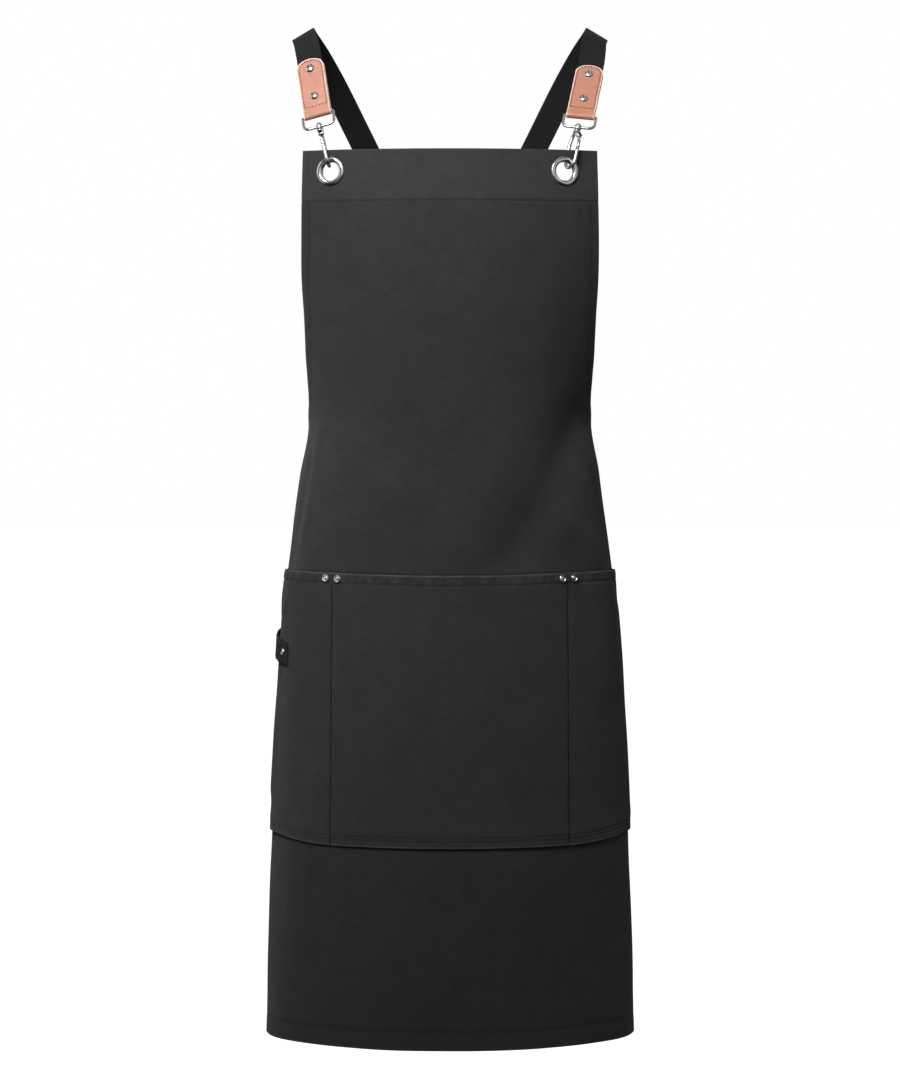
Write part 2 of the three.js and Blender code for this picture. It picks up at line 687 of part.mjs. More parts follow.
// A closed tube round a flat loop of points, mitred at each
function loopTube(points, radius) {
  const count = points.length;
  const position = [];
  const index = [];
  points.forEach((point, k) => {
    const arriving = point.clone().sub(points[(k + count - 1) % count]).normalize();
    const leaving = points[(k + 1) % count].clone().sub(point).normalize();
    const along = arriving.clone().add(leaving).normalize();
    const mitre = radius / along.dot(arriving);
    for (let m = 0; m < WIRE_SIDES; m++) {
      const angle = 2 * Math.PI * m / WIRE_SIDES;
      const reach = mitre * Math.cos(angle);
      position.push(point.x + along.y * reach, point.y - along.x * reach, radius * Math.sin(angle));
    }
  });
  for (let k = 0; k < count; k++) {
    for (let m = 0; m < WIRE_SIDES; m++) {
      const next = ((k + 1) % count) * WIRE_SIDES;
      const here = k * WIRE_SIDES;
      const turn = (m + 1) % WIRE_SIDES;
      index.push(here + m, next + turn, here + turn, here + m, next + m, next + turn);
    }
  }
  const geometry = new THREE.BufferGeometry();
  geometry.setAttribute("position", new THREE.Float32BufferAttribute(position, 3));
  geometry.setIndex(index);
  return geometry;
}

function makeRing({ ring, hub }) {
  const loop = toSolid(loopTube(ringLoop(), RING_WIRE_RADIUS).applyMatrix4(ring));
  const barrel = toSolid(disc(HUB_RADIUS, -HUB_HEIGHT / 2, HUB_HEIGHT / 2).applyMatrix4(hub));
  return loop.add(barrel).subtract(holeCutter(hub, STEM_RADIUS + GAP, HUB_HEIGHT));
}

// The leather tab: a strip folded round the ring's upper bar, round at its free end, with the
// strap between its layers. Its x runs along the bar and its y up, with the bar at the origin

const FOLD_INNER = RING_WIRE_RADIUS + GAP;
const FOLD_OUTER = FOLD_INNER + TAB_WALL;
const LAYER_INNER = STRAP_WALL / 2 + GAP;
const LAYER_OUTER = LAYER_INNER + TAB_WALL;
const TAB_TOP = TAB_LENGTH - FOLD_OUTER;

function makeTab() {
  const strip = new THREE.Shape();
  strip.moveTo(TAB_TOP, LAYER_OUTER);
  strip.lineTo(TAB_FOLD_HEIGHT, LAYER_OUTER);
  strip.lineTo(0, FOLD_OUTER);
  strip.absarc(0, 0, FOLD_OUTER, Math.PI / 2, 3 * Math.PI / 2, false);
  strip.lineTo(TAB_FOLD_HEIGHT, -LAYER_OUTER);
  strip.lineTo(TAB_TOP, -LAYER_OUTER);
  strip.lineTo(TAB_TOP, -LAYER_INNER);
  strip.lineTo(TAB_FOLD_HEIGHT, -LAYER_INNER);
  strip.lineTo(0, -FOLD_INNER);
  strip.absarc(0, 0, FOLD_INNER, 3 * Math.PI / 2, Math.PI / 2, true);
  strip.lineTo(TAB_FOLD_HEIGHT, LAYER_INNER);
  strip.lineTo(TAB_TOP, LAYER_INNER);
  strip.closePath();
  const bent = new THREE.ExtrudeGeometry(strip, { depth: TAB_WIDTH, bevelEnabled: false, curveSegments: 6 });
  // The strip is drawn with its length along x: it is turned to run along y, with its width along x
  bent.translate(0, 0, -TAB_WIDTH / 2).rotateX(Math.PI / 2).rotateZ(Math.PI / 2);
  const half = TAB_WIDTH / 2;
  const shoulder = TAB_TOP - TAB_TOP_ROUND;
  const face = new THREE.Shape();
  face.moveTo(-half, -FOLD_OUTER - 1);
  face.lineTo(half, -FOLD_OUTER - 1);
  face.lineTo(half, shoulder);
  face.absellipse(0, shoulder, half, TAB_TOP_ROUND, 0, Math.PI, false, 0);
  face.closePath();
  const depth = 2 * (FOLD_OUTER + 1);
  const plate = new THREE.ExtrudeGeometry(face, { depth, bevelEnabled: false, curveSegments: 10 });
  return toSolid(bent).intersect(toSolid(plate.translate(0, 0, -depth / 2)));
}

// The strap runs from the tab over the shoulder and down behind to the waist's far corner

function strapStations({ side, tabUp, across, bar }) {
  const stations = [];
  for (const share of TAB_STATIONS) {
    const height = THREE.MathUtils.lerp(STRAP_START, TAB_TOP, share);
    stations.push({ point: bar.clone().addScaledVector(tabUp, height), across });
  }
  for (const row of STRAP_ROUTE) {
    const point = new THREE.Vector3(side.sign * row.x * SHOULDER_HALF_SPACING,
      row.y * STRAP_BACK_REACH, row.z * CROSS_DROP);
    const fromCross = (point.z + CROSS_DROP) / CROSS_REACH;
    point.y += side.cross * (STRAP_WALL + CROSS_CLEARANCE) / 2 * Math.exp(-(fromCross ** 2));
    const rise = -side.sign * Math.tan(row.slope * DEGREE);
    stations.push({ point, across: new THREE.Vector3(1, 0, rise).normalize() });
  }
  // The end lies inside the far corner of the waist, turned with the cloth
  const far = -side.sign;
  const waist = APRON_LENGTH * EDGE[EDGE.length - 2].drop;
  const inside = -(HEM_WALL + SEAM_CLEARANCE + STRAP_WALL / 2);
  for (const row of STRAP_END) {
    const arc = far * (CLOTH_HALF_WIDTH - row.inset * STRAP_WIDTH);
    const across = smoothPoint(arc + NORMAL_STEP, waist).sub(smoothPoint(arc - NORMAL_STEP, waist));
    across.normalize().multiplyScalar(Math.sign(across.x));
    across.z = -side.sign * Math.tan(STRAP_END_SLOPE * DEGREE);
    across.normalize();
    stations.push({ point: offCloth(arc, waist + row.below * STRAP_END_OVERLAP, inside), across });
  }
  return stations;
}

function makeStrap(layout) {
  const stations = strapStations(layout);
  const route = new THREE.CatmullRomCurve3(stations.map((station) => station.point), false, "centripetal");
  const turns = new THREE.CatmullRomCurve3(stations.map((station) => station.across), false, "centripetal");
  return toSolid(wall(1, STRAP_STEPS, (i, j, face) => {
    const t = j / STRAP_STEPS;
    const along = route.getTangent(t);
    const across = turns.getPoint(t);
    across.addScaledVector(along, -across.dot(along)).normalize();
    const out = new THREE.Vector3().crossVectors(across, along);
    return route.getPoint(t)
      .addScaledVector(across, STRAP_WIDTH * (0.5 - i))
      .addScaledVector(out, STRAP_WALL * (face - 0.5));
  }));
}

// The hook in its own frame: z up the swivel's axis and x out of the cloth, with the swivel's
// centre at the origin. Heights count up from the bend, so they are negative

const HEAD_SEAT = HUB_HEIGHT / 2 + GAP;
const COLLAR_END = -HEAD_SEAT - COLLAR_HEIGHT;
const COLLAR_MIDDLE = -HEAD_SEAT - COLLAR_HEIGHT / 2;
const BEND_HEIGHT = -HOOK_LENGTH + HOOK_BEND_RADIUS;
const NOSE_TOP = BEND_HEIGHT + HOOK_NOSE_LENGTH;
const GATE_PIVOT = { x: HOOK_BEND_RADIUS - GATE_PIVOT_INSET, z: -HOOK_BASE_LENGTH + GATE_PIVOT_RISE };

function hookRoute() {
  const spine = -HOOK_BEND_RADIUS;
  const points = [
    new THREE.Vector3(spine / 4, 0, COLLAR_END + COLLAR_HEIGHT / 5),
    new THREE.Vector3(spine * 0.75, 0, -HOOK_BASE_LENGTH + HOOK_WIRE_RADIUS),
    new THREE.Vector3(spine, 0, -HOOK_BASE_LENGTH - 3 * HOOK_WIRE_RADIUS),
    new THREE.Vector3(spine, 0, (BEND_HEIGHT - HOOK_BASE_LENGTH) / 2),
  ];
  for (let k = 0; k <= BEND_STEPS; k++) {
    const angle = Math.PI * (1 + k / BEND_STEPS);
    points.push(new THREE.Vector3(HOOK_BEND_RADIUS * Math.cos(angle), 0,
      BEND_HEIGHT + HOOK_BEND_RADIUS * Math.sin(angle)));
  }
  points.push(new THREE.Vector3(HOOK_BEND_RADIUS, 0, (BEND_HEIGHT + NOSE_TOP) / 2));
  points.push(new THREE.Vector3(HOOK_BEND_RADIUS, 0, NOSE_TOP));
  return points;
}

// The stem and head that the ring's hub turns on, and the collar under it
function makeSwivel() {
  return turned([
    [0, COLLAR_END], [COLLAR_RADIUS * 0.8, COLLAR_END], [COLLAR_RADIUS, COLLAR_MIDDLE],
    [COLLAR_RADIUS * 0.8, -HEAD_SEAT], [STEM_RADIUS, -HEAD_SEAT], [STEM_RADIUS, HEAD_SEAT],
    [HEAD_RADIUS, HEAD_SEAT], [HEAD_RADIUS * 0.8, HEAD_SEAT + HEAD_HEIGHT], [0, HEAD_SEAT + HEAD_HEIGHT],
  ]);
}

// The cheeks that hold the gate's pin, before the slot between them is cut
function makeCheeks() {
  const { x, z } = GATE_PIVOT;
  const neck = COLLAR_RADIUS * 0.77;
  const outline = new THREE.Shape();
  outline.moveTo(-neck, COLLAR_MIDDLE);
  outline.lineTo(neck, COLLAR_MIDDLE);
  outline.lineTo(x + CHEEK_MARGIN, z + CHEEK_MARGIN / 3);
  outline.lineTo(x + CHEEK_MARGIN * 0.9, z - CHEEK_MARGIN * 0.7);
  outline.lineTo(x - CHEEK_MARGIN * 0.75, z - CHEEK_MARGIN * 0.9);
  outline.lineTo(-neck, z + CHEEK_MARGIN / 4);
  outline.closePath();
  return new THREE.ExtrudeGeometry(outline, { depth: CHEEK_DEPTH, bevelEnabled: false });
}

function makeHook() {
  const { x, z } = GATE_PIVOT;
  const slotWidth = GATE_TONGUE_WIDTH + 2 * GAP;
  const slotSize = 4.7 * CHEEK_MARGIN;
  const slot = new THREE.BoxGeometry(slotSize, slotWidth, slotSize * 0.8);
  slot.translate(x - SLOT_BACK + slotSize / 2, 0, z + SLOT_TOP - slotSize * 0.4);
  const pin = new THREE.CylinderGeometry(GATE_PIN_RADIUS, GATE_PIN_RADIUS, CHEEK_DEPTH * 0.94, 8);
  return toSolid(wire(hookRoute(), HOOK_WIRE_RADIUS))
    .add(toSolid(makeSwivel()))
    .add(toSolid(stand(makeCheeks(), CHEEK_DEPTH)))
    .subtract(toSolid(slot))
    .add(toSolid(pin.translate(x, 0, z)));
}

// The gate: a tongue round the pin, and a bar that closes onto the nose
function makeGate() {
  const { x, z } = GATE_PIVOT;
  // The bar's corner dips toward the nose as the gate opens
  const low = NOSE_TOP + 2 * GAP;
  const eye = GATE_TONGUE_WIDTH * 0.9;
  const half = GATE_RADIUS * 0.9;
  const top = z - HOOK_WIRE_RADIUS * 2;
  const tongue = new THREE.Shape();
  tongue.moveTo(x - eye, z);
  tongue.absarc(x, z, eye, Math.PI, 0, true);
  tongue.lineTo(HOOK_BEND_RADIUS + half, top);
  tongue.lineTo(HOOK_BEND_RADIUS + half, low + half);
  tongue.lineTo(HOOK_BEND_RADIUS - half, low + half);
  tongue.lineTo(HOOK_BEND_RADIUS - half, top);
  tongue.closePath();
  const hole = new THREE.Path();
  hole.absarc(x, z, GATE_PIN_RADIUS + GAP, 0, 2 * Math.PI);
  tongue.holes.push(hole);
  const plate = new THREE.ExtrudeGeometry(tongue, {
    depth: GATE_TONGUE_WIDTH, bevelEnabled: false, curveSegments: 5,
  });
  const bar = turned([[0, low], [GATE_RADIUS, low], [GATE_RADIUS, top - GATE_RADIUS], [0, top]], WIRE_SIDES);
  return toSolid(stand(plate, GATE_TONGUE_WIDTH)).add(toSolid(bar.translate(HOOK_BEND_RADIUS, 0, 0)));
}

// Each side's eyelet, ring, tab, strap, hook and gate, joined up from the same layout
for (const side of SIDES) {
  const layout = layOut(side);
  const holeRadius = EYELET_HOLE_RADIUS + EYELET_WALL + GAP;
  body = body.subtract(holeCutter(layout.eyelet, holeRadius, HOLE_REACH, EYELET_SIDES));
  let strap = makeStrap(layout);
  let tab = toSolid(toGeometry(makeTab()).applyMatrix4(layout.tab));
  const seatHeight = LAYER_OUTER + GAP;
  for (const [level, fromTop] of [["upper", TAB_RIVET_UPPER], ["lower", TAB_RIVET_LOWER]]) {
    const seat = layout.tab.clone()
      .multiply(new THREE.Matrix4().makeTranslation(0, TAB_TOP - fromTop, seatHeight));
    const cutter = holeCutter(seat, TAB_RIVET_SHANK_RADIUS + GAP, HOLE_REACH);
    strap = strap.subtract(cutter);
    tab = tab.subtract(cutter);
    const shape = rivet(2 * seatHeight, TAB_RIVET_CAP_RADIUS, TAB_RIVET_CAP_HEIGHT,
      TAB_RIVET_SHANK_RADIUS, RIVET_WASHER_RADIUS);
    addPiece(`tab_rivet_${side.name}_${level}`, shape.applyMatrix4(seat), nickel);
  }
  addPiece(`strap_${side.name}`, toGeometry(strap), webbing);
  addPiece(`leather_tab_${side.name}`, toGeometry(tab), leather);
  addPiece(`ring_${side.name}`, toGeometry(makeRing(layout)), nickel);
  addPiece(`hook_${side.name}`, toGeometry(makeHook()).applyMatrix4(layout.hook), nickel);
  addPiece(`hook_gate_${side.name}`, toGeometry(makeGate()).applyMatrix4(layout.hook), nickel);
  addPiece(`grommet_${side.name}`, makeEyelet().applyMatrix4(layout.eyelet), nickel);
}

addPiece("apron_body", toGeometry(body), canvas);
addPiece("pocket_panel", toGeometry(pocket), canvas);
addPiece("towel_loop", toGeometry(loop), webbing);
for (const [name, shape] of [...pocketRivets, ...loopRivets]) addPiece(name, shape, nickel);

export default apron;
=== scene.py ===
# A cross back apron, worn: canvas bib and skirt, pocket panel, webbing straps, leather tabs and snap hooks.
# Metres, +Z up, the front faces -Y. The cloth is laid out by its flat cut: s runs along the cloth from the
# front's middle to the right, and drop runs down from the bib's top.

import json
import math

import bpy
import numpy as np
from mathutils import Matrix, Vector


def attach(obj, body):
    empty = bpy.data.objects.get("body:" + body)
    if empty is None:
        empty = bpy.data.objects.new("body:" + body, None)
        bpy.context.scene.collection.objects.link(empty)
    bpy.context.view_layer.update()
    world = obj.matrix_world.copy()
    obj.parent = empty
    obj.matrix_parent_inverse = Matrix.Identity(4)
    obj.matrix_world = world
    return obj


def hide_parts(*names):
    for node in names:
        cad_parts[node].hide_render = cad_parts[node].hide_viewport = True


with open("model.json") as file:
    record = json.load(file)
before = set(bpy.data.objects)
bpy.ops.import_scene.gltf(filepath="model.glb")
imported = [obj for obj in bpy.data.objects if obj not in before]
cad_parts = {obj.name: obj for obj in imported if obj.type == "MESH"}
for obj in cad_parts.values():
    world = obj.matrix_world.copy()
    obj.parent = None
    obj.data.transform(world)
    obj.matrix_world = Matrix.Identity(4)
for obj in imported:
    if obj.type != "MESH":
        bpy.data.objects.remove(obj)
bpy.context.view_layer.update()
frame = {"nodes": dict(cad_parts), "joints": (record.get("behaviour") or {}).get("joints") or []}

# Sizes of the cloth and its seams, the same as the frame's

APRON_LENGTH = 0.862
BIB_TOP_DROP = 0.121
CLOTH_HALF_WIDTH = 0.350
HIP_HALF_WIDTH = 0.183
FRONT_DEPTH = 0.134
BACK_DEPTH = 0.112
CLOTH_WALL = 0.0011
HEM_WALL = 0.0017
BAND_WALL = 0.0020
BAND_HEIGHT = 0.0515
SIDE_HEM = 0.011
BOTTOM_HEM = 0.020

POCKET_DROP = 0.406
POCKET_HEIGHT = 0.262
POCKET_CORNER_LIFT = 0.006
POCKET_HALF_WIDTH = 0.348
POCKET_WALL = 0.0012
POCKET_HEM_WALL = 0.0018
POCKET_HEM = 0.012
POCKET_SEAM_GAP = 0.0006
POCKET_HEM_SEAM = 0.0098
POCKET_LOW_SEAMS = (0.0062, 0.0094)
POCKET_END_SEAM = 0.0050
POCKET_RIVET_OFFSET = 0.0072
POCKET_RIVET_DROP = 0.0056
DIVIDER = 0.120
CENTRE_MOUTH_GAP = 0.008
SIDE_MOUTH_GAP = 0.006
SIDE_MOUTH_SPAN = 0.092
SEAM_FLAT = 0.012
MOUTH_SAG = 0.002
GAPE_FALL = 1.6

LOOP_LENGTH = 0.070
LOOP_WIDTH = 0.0228
LOOP_WALL = 0.0016
LOOP_START = 0.178
LOOP_BELOW_POCKET = 0.081
LOOP_RISE = 0.17
LOOP_BULGE = 0.0022
LOOP_RIVET_INSET = 0.0085
GAP = 0.0003

EYELET_RADIUS = 0.014
EYELET_HOLE_RADIUS = 0.009
EYELET_WALL = 0.0007
EYELET_CROWN = 0.0006
EYELET_DROP = 0.0206
EYELET_CLEARANCE = 0.00045

# Sizes of the straps and hardware

STRAP_WIDTH = 0.025
STRAP_WALL = 0.0016
STRAP_START = 0.008
STRAP_END_OVERLAP = 0.034
STRAP_END_SLOPE = 23.75
CROSS_CLEARANCE = 0.0009
CROSS_REACH = 0.086
SEAM_CLEARANCE = 0.002
SHOULDER_HALF_SPACING = 0.1446
CROSS_DROP = 0.276
STRAP_BACK_REACH = 0.097
TAB_WIDTH = 0.027
TAB_LENGTH = 0.065
TAB_WALL = 0.0016
TAB_TOP_ROUND = 0.009
TAB_FOLD_HEIGHT = 0.0077
RING_WIRE_RADIUS = 0.0013
RING_SIDE_CLEARANCE = 0.0007
RING_HEIGHT = 0.015
RING_UPPER_CORNER = 0.0018
RING_LOWER_CORNER = 0.0055
HUB_RADIUS = 0.0031
HUB_HEIGHT = 0.0044
STEM_RADIUS = 0.0011
HEAD_RADIUS = 0.0021
HEAD_HEIGHT = 0.0014
COLLAR_RADIUS = 0.0031
COLLAR_HEIGHT = 0.0026
HOOK_LENGTH = 0.041
HOOK_BASE_LENGTH = 0.011
HOOK_WIRE_RADIUS = 0.0018
HOOK_BEND_RADIUS = 0.0064
HOOK_NOSE_LENGTH = 0.0136
GATE_RADIUS = 0.0015

# How each side hangs: sign, the tab's lean, back and tilt, the ring's swing, the eyelet's distance
# from the middle, and 1 on the strap that passes outside at the cross
SIDES = {
    "left": dict(sign=-1, lean=9.4, back=26.4, tilt=14.5, swing=6, eyelet=0.1147, cross=1),
    "right": dict(sign=1, lean=12.5, back=34, tilt=6.5, swing=2, eyelet=0.110, cross=-1),
}

# Drop as a share of the length, then shares of the hip's half width, front depth and back depth
SECTIONS = np.array([
    (0.000, 1.126, 0.873, 0.82),
    (0.059, 1.093, 0.907, 0.83),
    (0.132, 1.000, 0.918, 0.84),
    (0.208, 0.874, 0.907, 0.85),
    (0.296, 0.765, 0.884, 0.87),
    (0.363, 0.809, 0.881, 0.89),
    (0.466, 0.872, 0.907, 0.92),
    (0.567, 0.916, 0.940, 0.95),
    (0.695, 0.950, 0.970, 0.97),
    (0.834, 0.978, 0.985, 0.99),
    (1.000, 1.000, 1.000, 1.00),
])

# Drop as a share of the length, and the cut edge's share of the cloth's half width
EDGE = np.array([
    (0.000, 0.419), (0.059, 0.427), (0.113, 0.436), (0.180, 0.449), (0.213, 0.460),
    (0.246, 0.477), (0.268, 0.495), (0.282, 0.515), (0.296, 0.560), (0.312, 0.700),
    (0.330, 0.835), (0.346, 0.935), (0.359, 1.000), (1.000, 1.000),
])

# The strap behind the shoulder: shares of the shoulder spacing, back reach and cross drop, then its slope
STRAP_ROUTE = (
    (0.978, -0.250, -0.030, 29),
    (1.000, 0.000, 0.000, 31),
    (0.978, 0.260, -0.014, 31),
    (0.910, 0.460, -0.064, 29),
    (0.801, 0.630, -0.163, 27),
    (0.597, 0.800, -0.375, 27),
    (0.297, 0.930, -0.687, 26),
    (0.000, 1.000, -1.000, 26),
    (-0.270, 0.985, -1.280, 26),
)
TAB_STATIONS = (0, 0.31, 0.656, 0.885, 1, 1.093)
STRAP_END = ((0.52, 0.06), (0.80, 0.50), (1.12, 1.00))

# Soft folds and creases of the worn cloth: s and drop where each starts and ends, its width and its height
FOLDS = np.array([
    (-0.150, 0.268, -0.168, 0.372, 0.0075, 0.0016),
    (-0.158, 0.300, -0.196, 0.400, 0.0110, -0.0018),
    (0.150, 0.262, 0.166, 0.350, 0.0070, 0.0015),
    (0.158, 0.300, 0.200, 0.398, 0.0110, -0.0018),
    (-0.060, 0.330, -0.150, 0.392, 0.0200, 0.0018),
    (0.050, 0.318, 0.158, 0.388, 0.0220, 0.0022),
    (0.145, 0.262, 0.058, 0.392, 0.0220, -0.0052),
    (0.085, 0.245, 0.012, 0.375, 0.0280, 0.0022),
    (-0.075, 0.110, -0.040, 0.330, 0.0340, 0.0024),
    (-0.120, 0.070, -0.095, 0.190, 0.0160, 0.0010),
    (0.118, 0.072, 0.090, 0.205, 0.0170, 0.0012),
    (-0.184, 0.436, -0.197, 0.505, 0.0034, 0.0013),
    (-0.192, 0.440, -0.203, 0.496, 0.0030, -0.0009),
    (-0.205, 0.500, -0.226, 0.620, 0.0100, 0.0016),
    (-0.1415, 0.0720, -0.1330, 0.0640, 0.0020, -0.0009),
    (0.1405, 0.0720, 0.1330, 0.0655, 0.0020, -0.0009),
    (0.214, 0.450, 0.228, 0.640, 0.0120, 0.0014),
    (-0.160, 0.690, -0.190, 0.862, 0.0300, 0.0022),
    (-0.050, 0.700, -0.066, 0.862, 0.0380, 0.0018),
    (0.070, 0.690, 0.060, 0.862, 0.0360, 0.0020),
    (0.176, 0.690, 0.196, 0.862, 0.0300, 0.0022),
    (0.290, 0.360, 0.280, 0.862, 0.0300, -0.0020),
    (-0.290, 0.360, -0.280, 0.862, 0.0300, -0.0020),
])

# The drop of the band's seam and of the bottom hem's, and how far the side hems' seams lie inside the edge
BAND_SEAM = BAND_HEIGHT - 0.0022
BOTTOM_SEAM = APRON_LENGTH - BOTTOM_HEM + 0.002
SIDE_SEAM = SIDE_HEM - 0.0015

# How deep the seams draw the cloth in, how wide, and how high the puckers beside them stand
BAND_GROOVE, BAND_GROOVE_WIDTH, BAND_PUCKER = 0.0006, 0.0011, 0.00028
HEM_GROOVE, HEM_GROOVE_WIDTH, HEM_PUCKER = 0.0003, 0.0014, 0.00022
DIVIDER_GROOVE, DIVIDER_PUCKER = 0.0013, 0.00022
POCKET_HEM_GROOVE, POCKET_HEM_PUCKER = 0.00045, 0.00060
POCKET_LOW_GROOVE, POCKET_LOW_PUCKER = 0.00035, 0.00022
SIDE_CREASE = 0.0016

DEGREE = math.pi / 180
ARC_STEPS = 120
NORMAL_STEP = 0.002


# The worn cloth's surface

def smooth_step(low, high, value):
    t = np.clip((value - low) / (high - low), 0, 1)
    return t * t * (3 - 2 * t)


def bell(distance, width):
    """1 on a line, falling off smoothly to both sides of it."""
    return np.exp(-(distance / width) ** 2)


def line_lengths(points):
    """How far along a line each of its points lies."""
    return np.concatenate([[0], np.cumsum(np.linalg.norm(np.diff(points, axis=0), axis=1))])


def look_up(column, share):
    """A smooth value of a body section's column at a share of the drop."""
    drops, values = SECTIONS[:, 0], SECTIONS[:, column]
    slopes = np.empty_like(values)
    slopes[1:-1] = (values[2:] - values[:-2]) / (drops[2:] - drops[:-2])
    slopes[0] = (values[1] - values[0]) / (drops[1] - drops[0])
    slopes[-1] = (values[-1] - values[-2]) / (drops[-1] - drops[-2])
    k = np.searchsorted(drops[1:-1], share)
    step = drops[k + 1] - drops[k]
    t = np.clip((share - drops[k]) / step, 0, 1)
    return ((2 * t**3 - 3 * t**2 + 1) * values[k] + (t**3 - 2 * t**2 + t) * step * slopes[k]
            + (3 * t**2 - 2 * t**3) * values[k + 1] + (t**3 - t**2) * step * slopes[k + 1])


def bare_point(s, drop):
    """The smooth body surface at flat positions s and drop."""
    share = drop / APRON_LENGTH
    wide = HIP_HALF_WIDTH * look_up(1, share)
    front = FRONT_DEPTH * look_up(2, share)
    back = BACK_DEPTH * look_up(3, share)
    step = math.pi / ARC_STEPS
    middles = (np.arange(ARC_STEPS) + 0.5) * step
    depths = np.where(middles < math.pi / 2, front[:, None], back[:, None])
    pieces = step * np.hypot(wide[:, None] * np.cos(middles), depths * np.sin(middles))
    ends = np.cumsum(pieces, axis=1)
    target = np.abs(s)
    k = np.minimum((ends < target[:, None]).sum(axis=1), ARC_STEPS - 1)
    rows = np.arange(len(s))
    start = ends[rows, k] - pieces[rows, k]
    angle = np.sign(s) * step * (k + (target - start) / pieces[rows, k])
    depth = np.where(np.abs(angle) < math.pi / 2, front, back)
    return np.stack([wide * np.sin(angle), -depth * np.cos(angle), -BIB_TOP_DROP - drop], axis=1)


def cloth_normal(s, drop):
    right = bare_point(s + NORMAL_STEP, drop) - bare_point(s - NORMAL_STEP, drop)
    down = bare_point(s, drop + NORMAL_STEP) - bare_point(s, drop - NORMAL_STEP)
    normal = np.cross(down, right)
    return normal / np.linalg.norm(normal, axis=1, keepdims=True)


def cloth_facing(s, drop):
    """The direction that the cloth faces at one flat position."""
    return Vector(cloth_normal(np.array([s]), np.array([drop]))[0])


def ridge(s, drop, row):
    """How near a point lies to a fold's line, from 0 far off to 1 on it."""
    start, end, width = np.array(row[0:2]), np.array(row[2:4]), row[4]
    along = end - start
    t = np.clip(((s - start[0]) * along[0] + (drop - start[1]) * along[1]) / (along @ along), 0, 1)
    distance = np.hypot(s - start[0] - t * along[0], drop - start[1] - t * along[1])
    return bell(distance, width)


def relief(s, drop):
    """How far the worn cloth's folds stand off the smooth body."""
    height = np.zeros_like(s)
    for row in FOLDS:
        height += row[5] * ridge(s, drop, row)
    height += 0.0005 * np.sin(s * 61 + 1.3 * np.sin(drop * 23)) * np.sin(drop * 37 + 2 * np.sin(s * 19))
    # The cloth lies flat in the band, where the eyelets are, and almost flat at the divider seams
    height *= smooth_step(0.040, 0.090, drop)
    pocket = smooth_step(POCKET_DROP - 0.05, POCKET_DROP - 0.01, drop)
    beside_divider = 1 - smooth_step(0.012, 0.034, np.abs(np.abs(s) - DIVIDER))
    height *= 1 - 0.95 * pocket * beside_divider
    return height - seam_groove(s, drop)


def seam_groove(s, drop):
    """How far the band's seam, the side hems' and the bottom hem's draw the cloth in."""
    pucker = np.sin(s * 310 + 2.2 * np.sin(s * 43)) + 0.6 * np.sin(s * 121)
    band = BAND_GROOVE * bell(drop - BAND_SEAM, BAND_GROOVE_WIDTH)
    band += BAND_PUCKER * pucker * bell(drop - BAND_SEAM - 0.004, 0.007)
    pucker = np.sin(drop * 420 + 3 * np.sin(drop * 61))
    side = (HEM_GROOVE + HEM_PUCKER * pucker) * bell(edge_distance(s, drop) - SIDE_SEAM, HEM_GROOVE_WIDTH)
    side *= smooth_step(BAND_SEAM, BAND_SEAM + 0.004, drop) * (drop < APRON_LENGTH - BOTTOM_HEM)
    return band + side + HEM_GROOVE * bell(drop - BOTTOM_SEAM, HEM_GROOVE_WIDTH)


def cloth_point(s, drop, height=0.0):
    """A point that stands off the worn cloth's outer face."""
    s, drop = np.asarray(s, float), np.asarray(drop, float)
    return bare_point(s, drop) + cloth_normal(s, drop) * (relief(s, drop) + height)[:, None]


def half_width(drop):
    return CLOTH_HALF_WIDTH * np.interp(drop / APRON_LENGTH, EDGE[:, 0], EDGE[:, 1])


def edge_line():
    """The cut's outline in flat coordinates, down its right side and along the bottom."""
    side = [(CLOTH_HALF_WIDTH * half, APRON_LENGTH * drop) for drop, half in EDGE]
    return np.array(side + [(0, APRON_LENGTH)])


def edge_distance(s, drop):
    """The distance of a flat position from the cut's side and bottom edges."""
    line = edge_line()
    best = np.full(len(s), 9.0)
    for start, end in zip(line[:-1], line[1:]):
        along = end - start
        beyond, below = np.abs(s) - start[0], drop - start[1]
        t = np.clip((beyond * along[0] + below * along[1]) / (along @ along), 0, 1)
        best = np.minimum(best, np.hypot(beyond - t * along[0], below - t * along[1]))
    return best


def arc_at_x(x, drop):
    """The s whose cloth lies a distance x to the right of the middle."""
    reach = np.linspace(0, 0.2, 401)
    across = bare_point(reach, np.full(401, drop))[:, 0]
    return math.copysign(float(np.interp(abs(x), across, reach)), x)


# Making and shaping

def deselect():
    if bpy.context.object and bpy.context.object.mode != "OBJECT":
        bpy.ops.object.mode_set(mode="OBJECT")
    bpy.ops.object.select_all(action="DESELECT")


def select_only(piece):
    deselect()
    piece.select_set(True)
    bpy.context.view_layer.objects.active = piece


def named(name):
    piece = bpy.context.object
    piece.name = name
    piece.data.name = name
    return piece


def shape_points(piece):
    points = np.empty(len(piece.data.vertices) * 3)
    piece.data.vertices.foreach_get("co", points)
    return points.reshape(-1, 3)


def move_points(piece, points):
    piece.data.vertices.foreach_set("co", np.ascontiguousarray(points).ravel())
    piece.data.update()


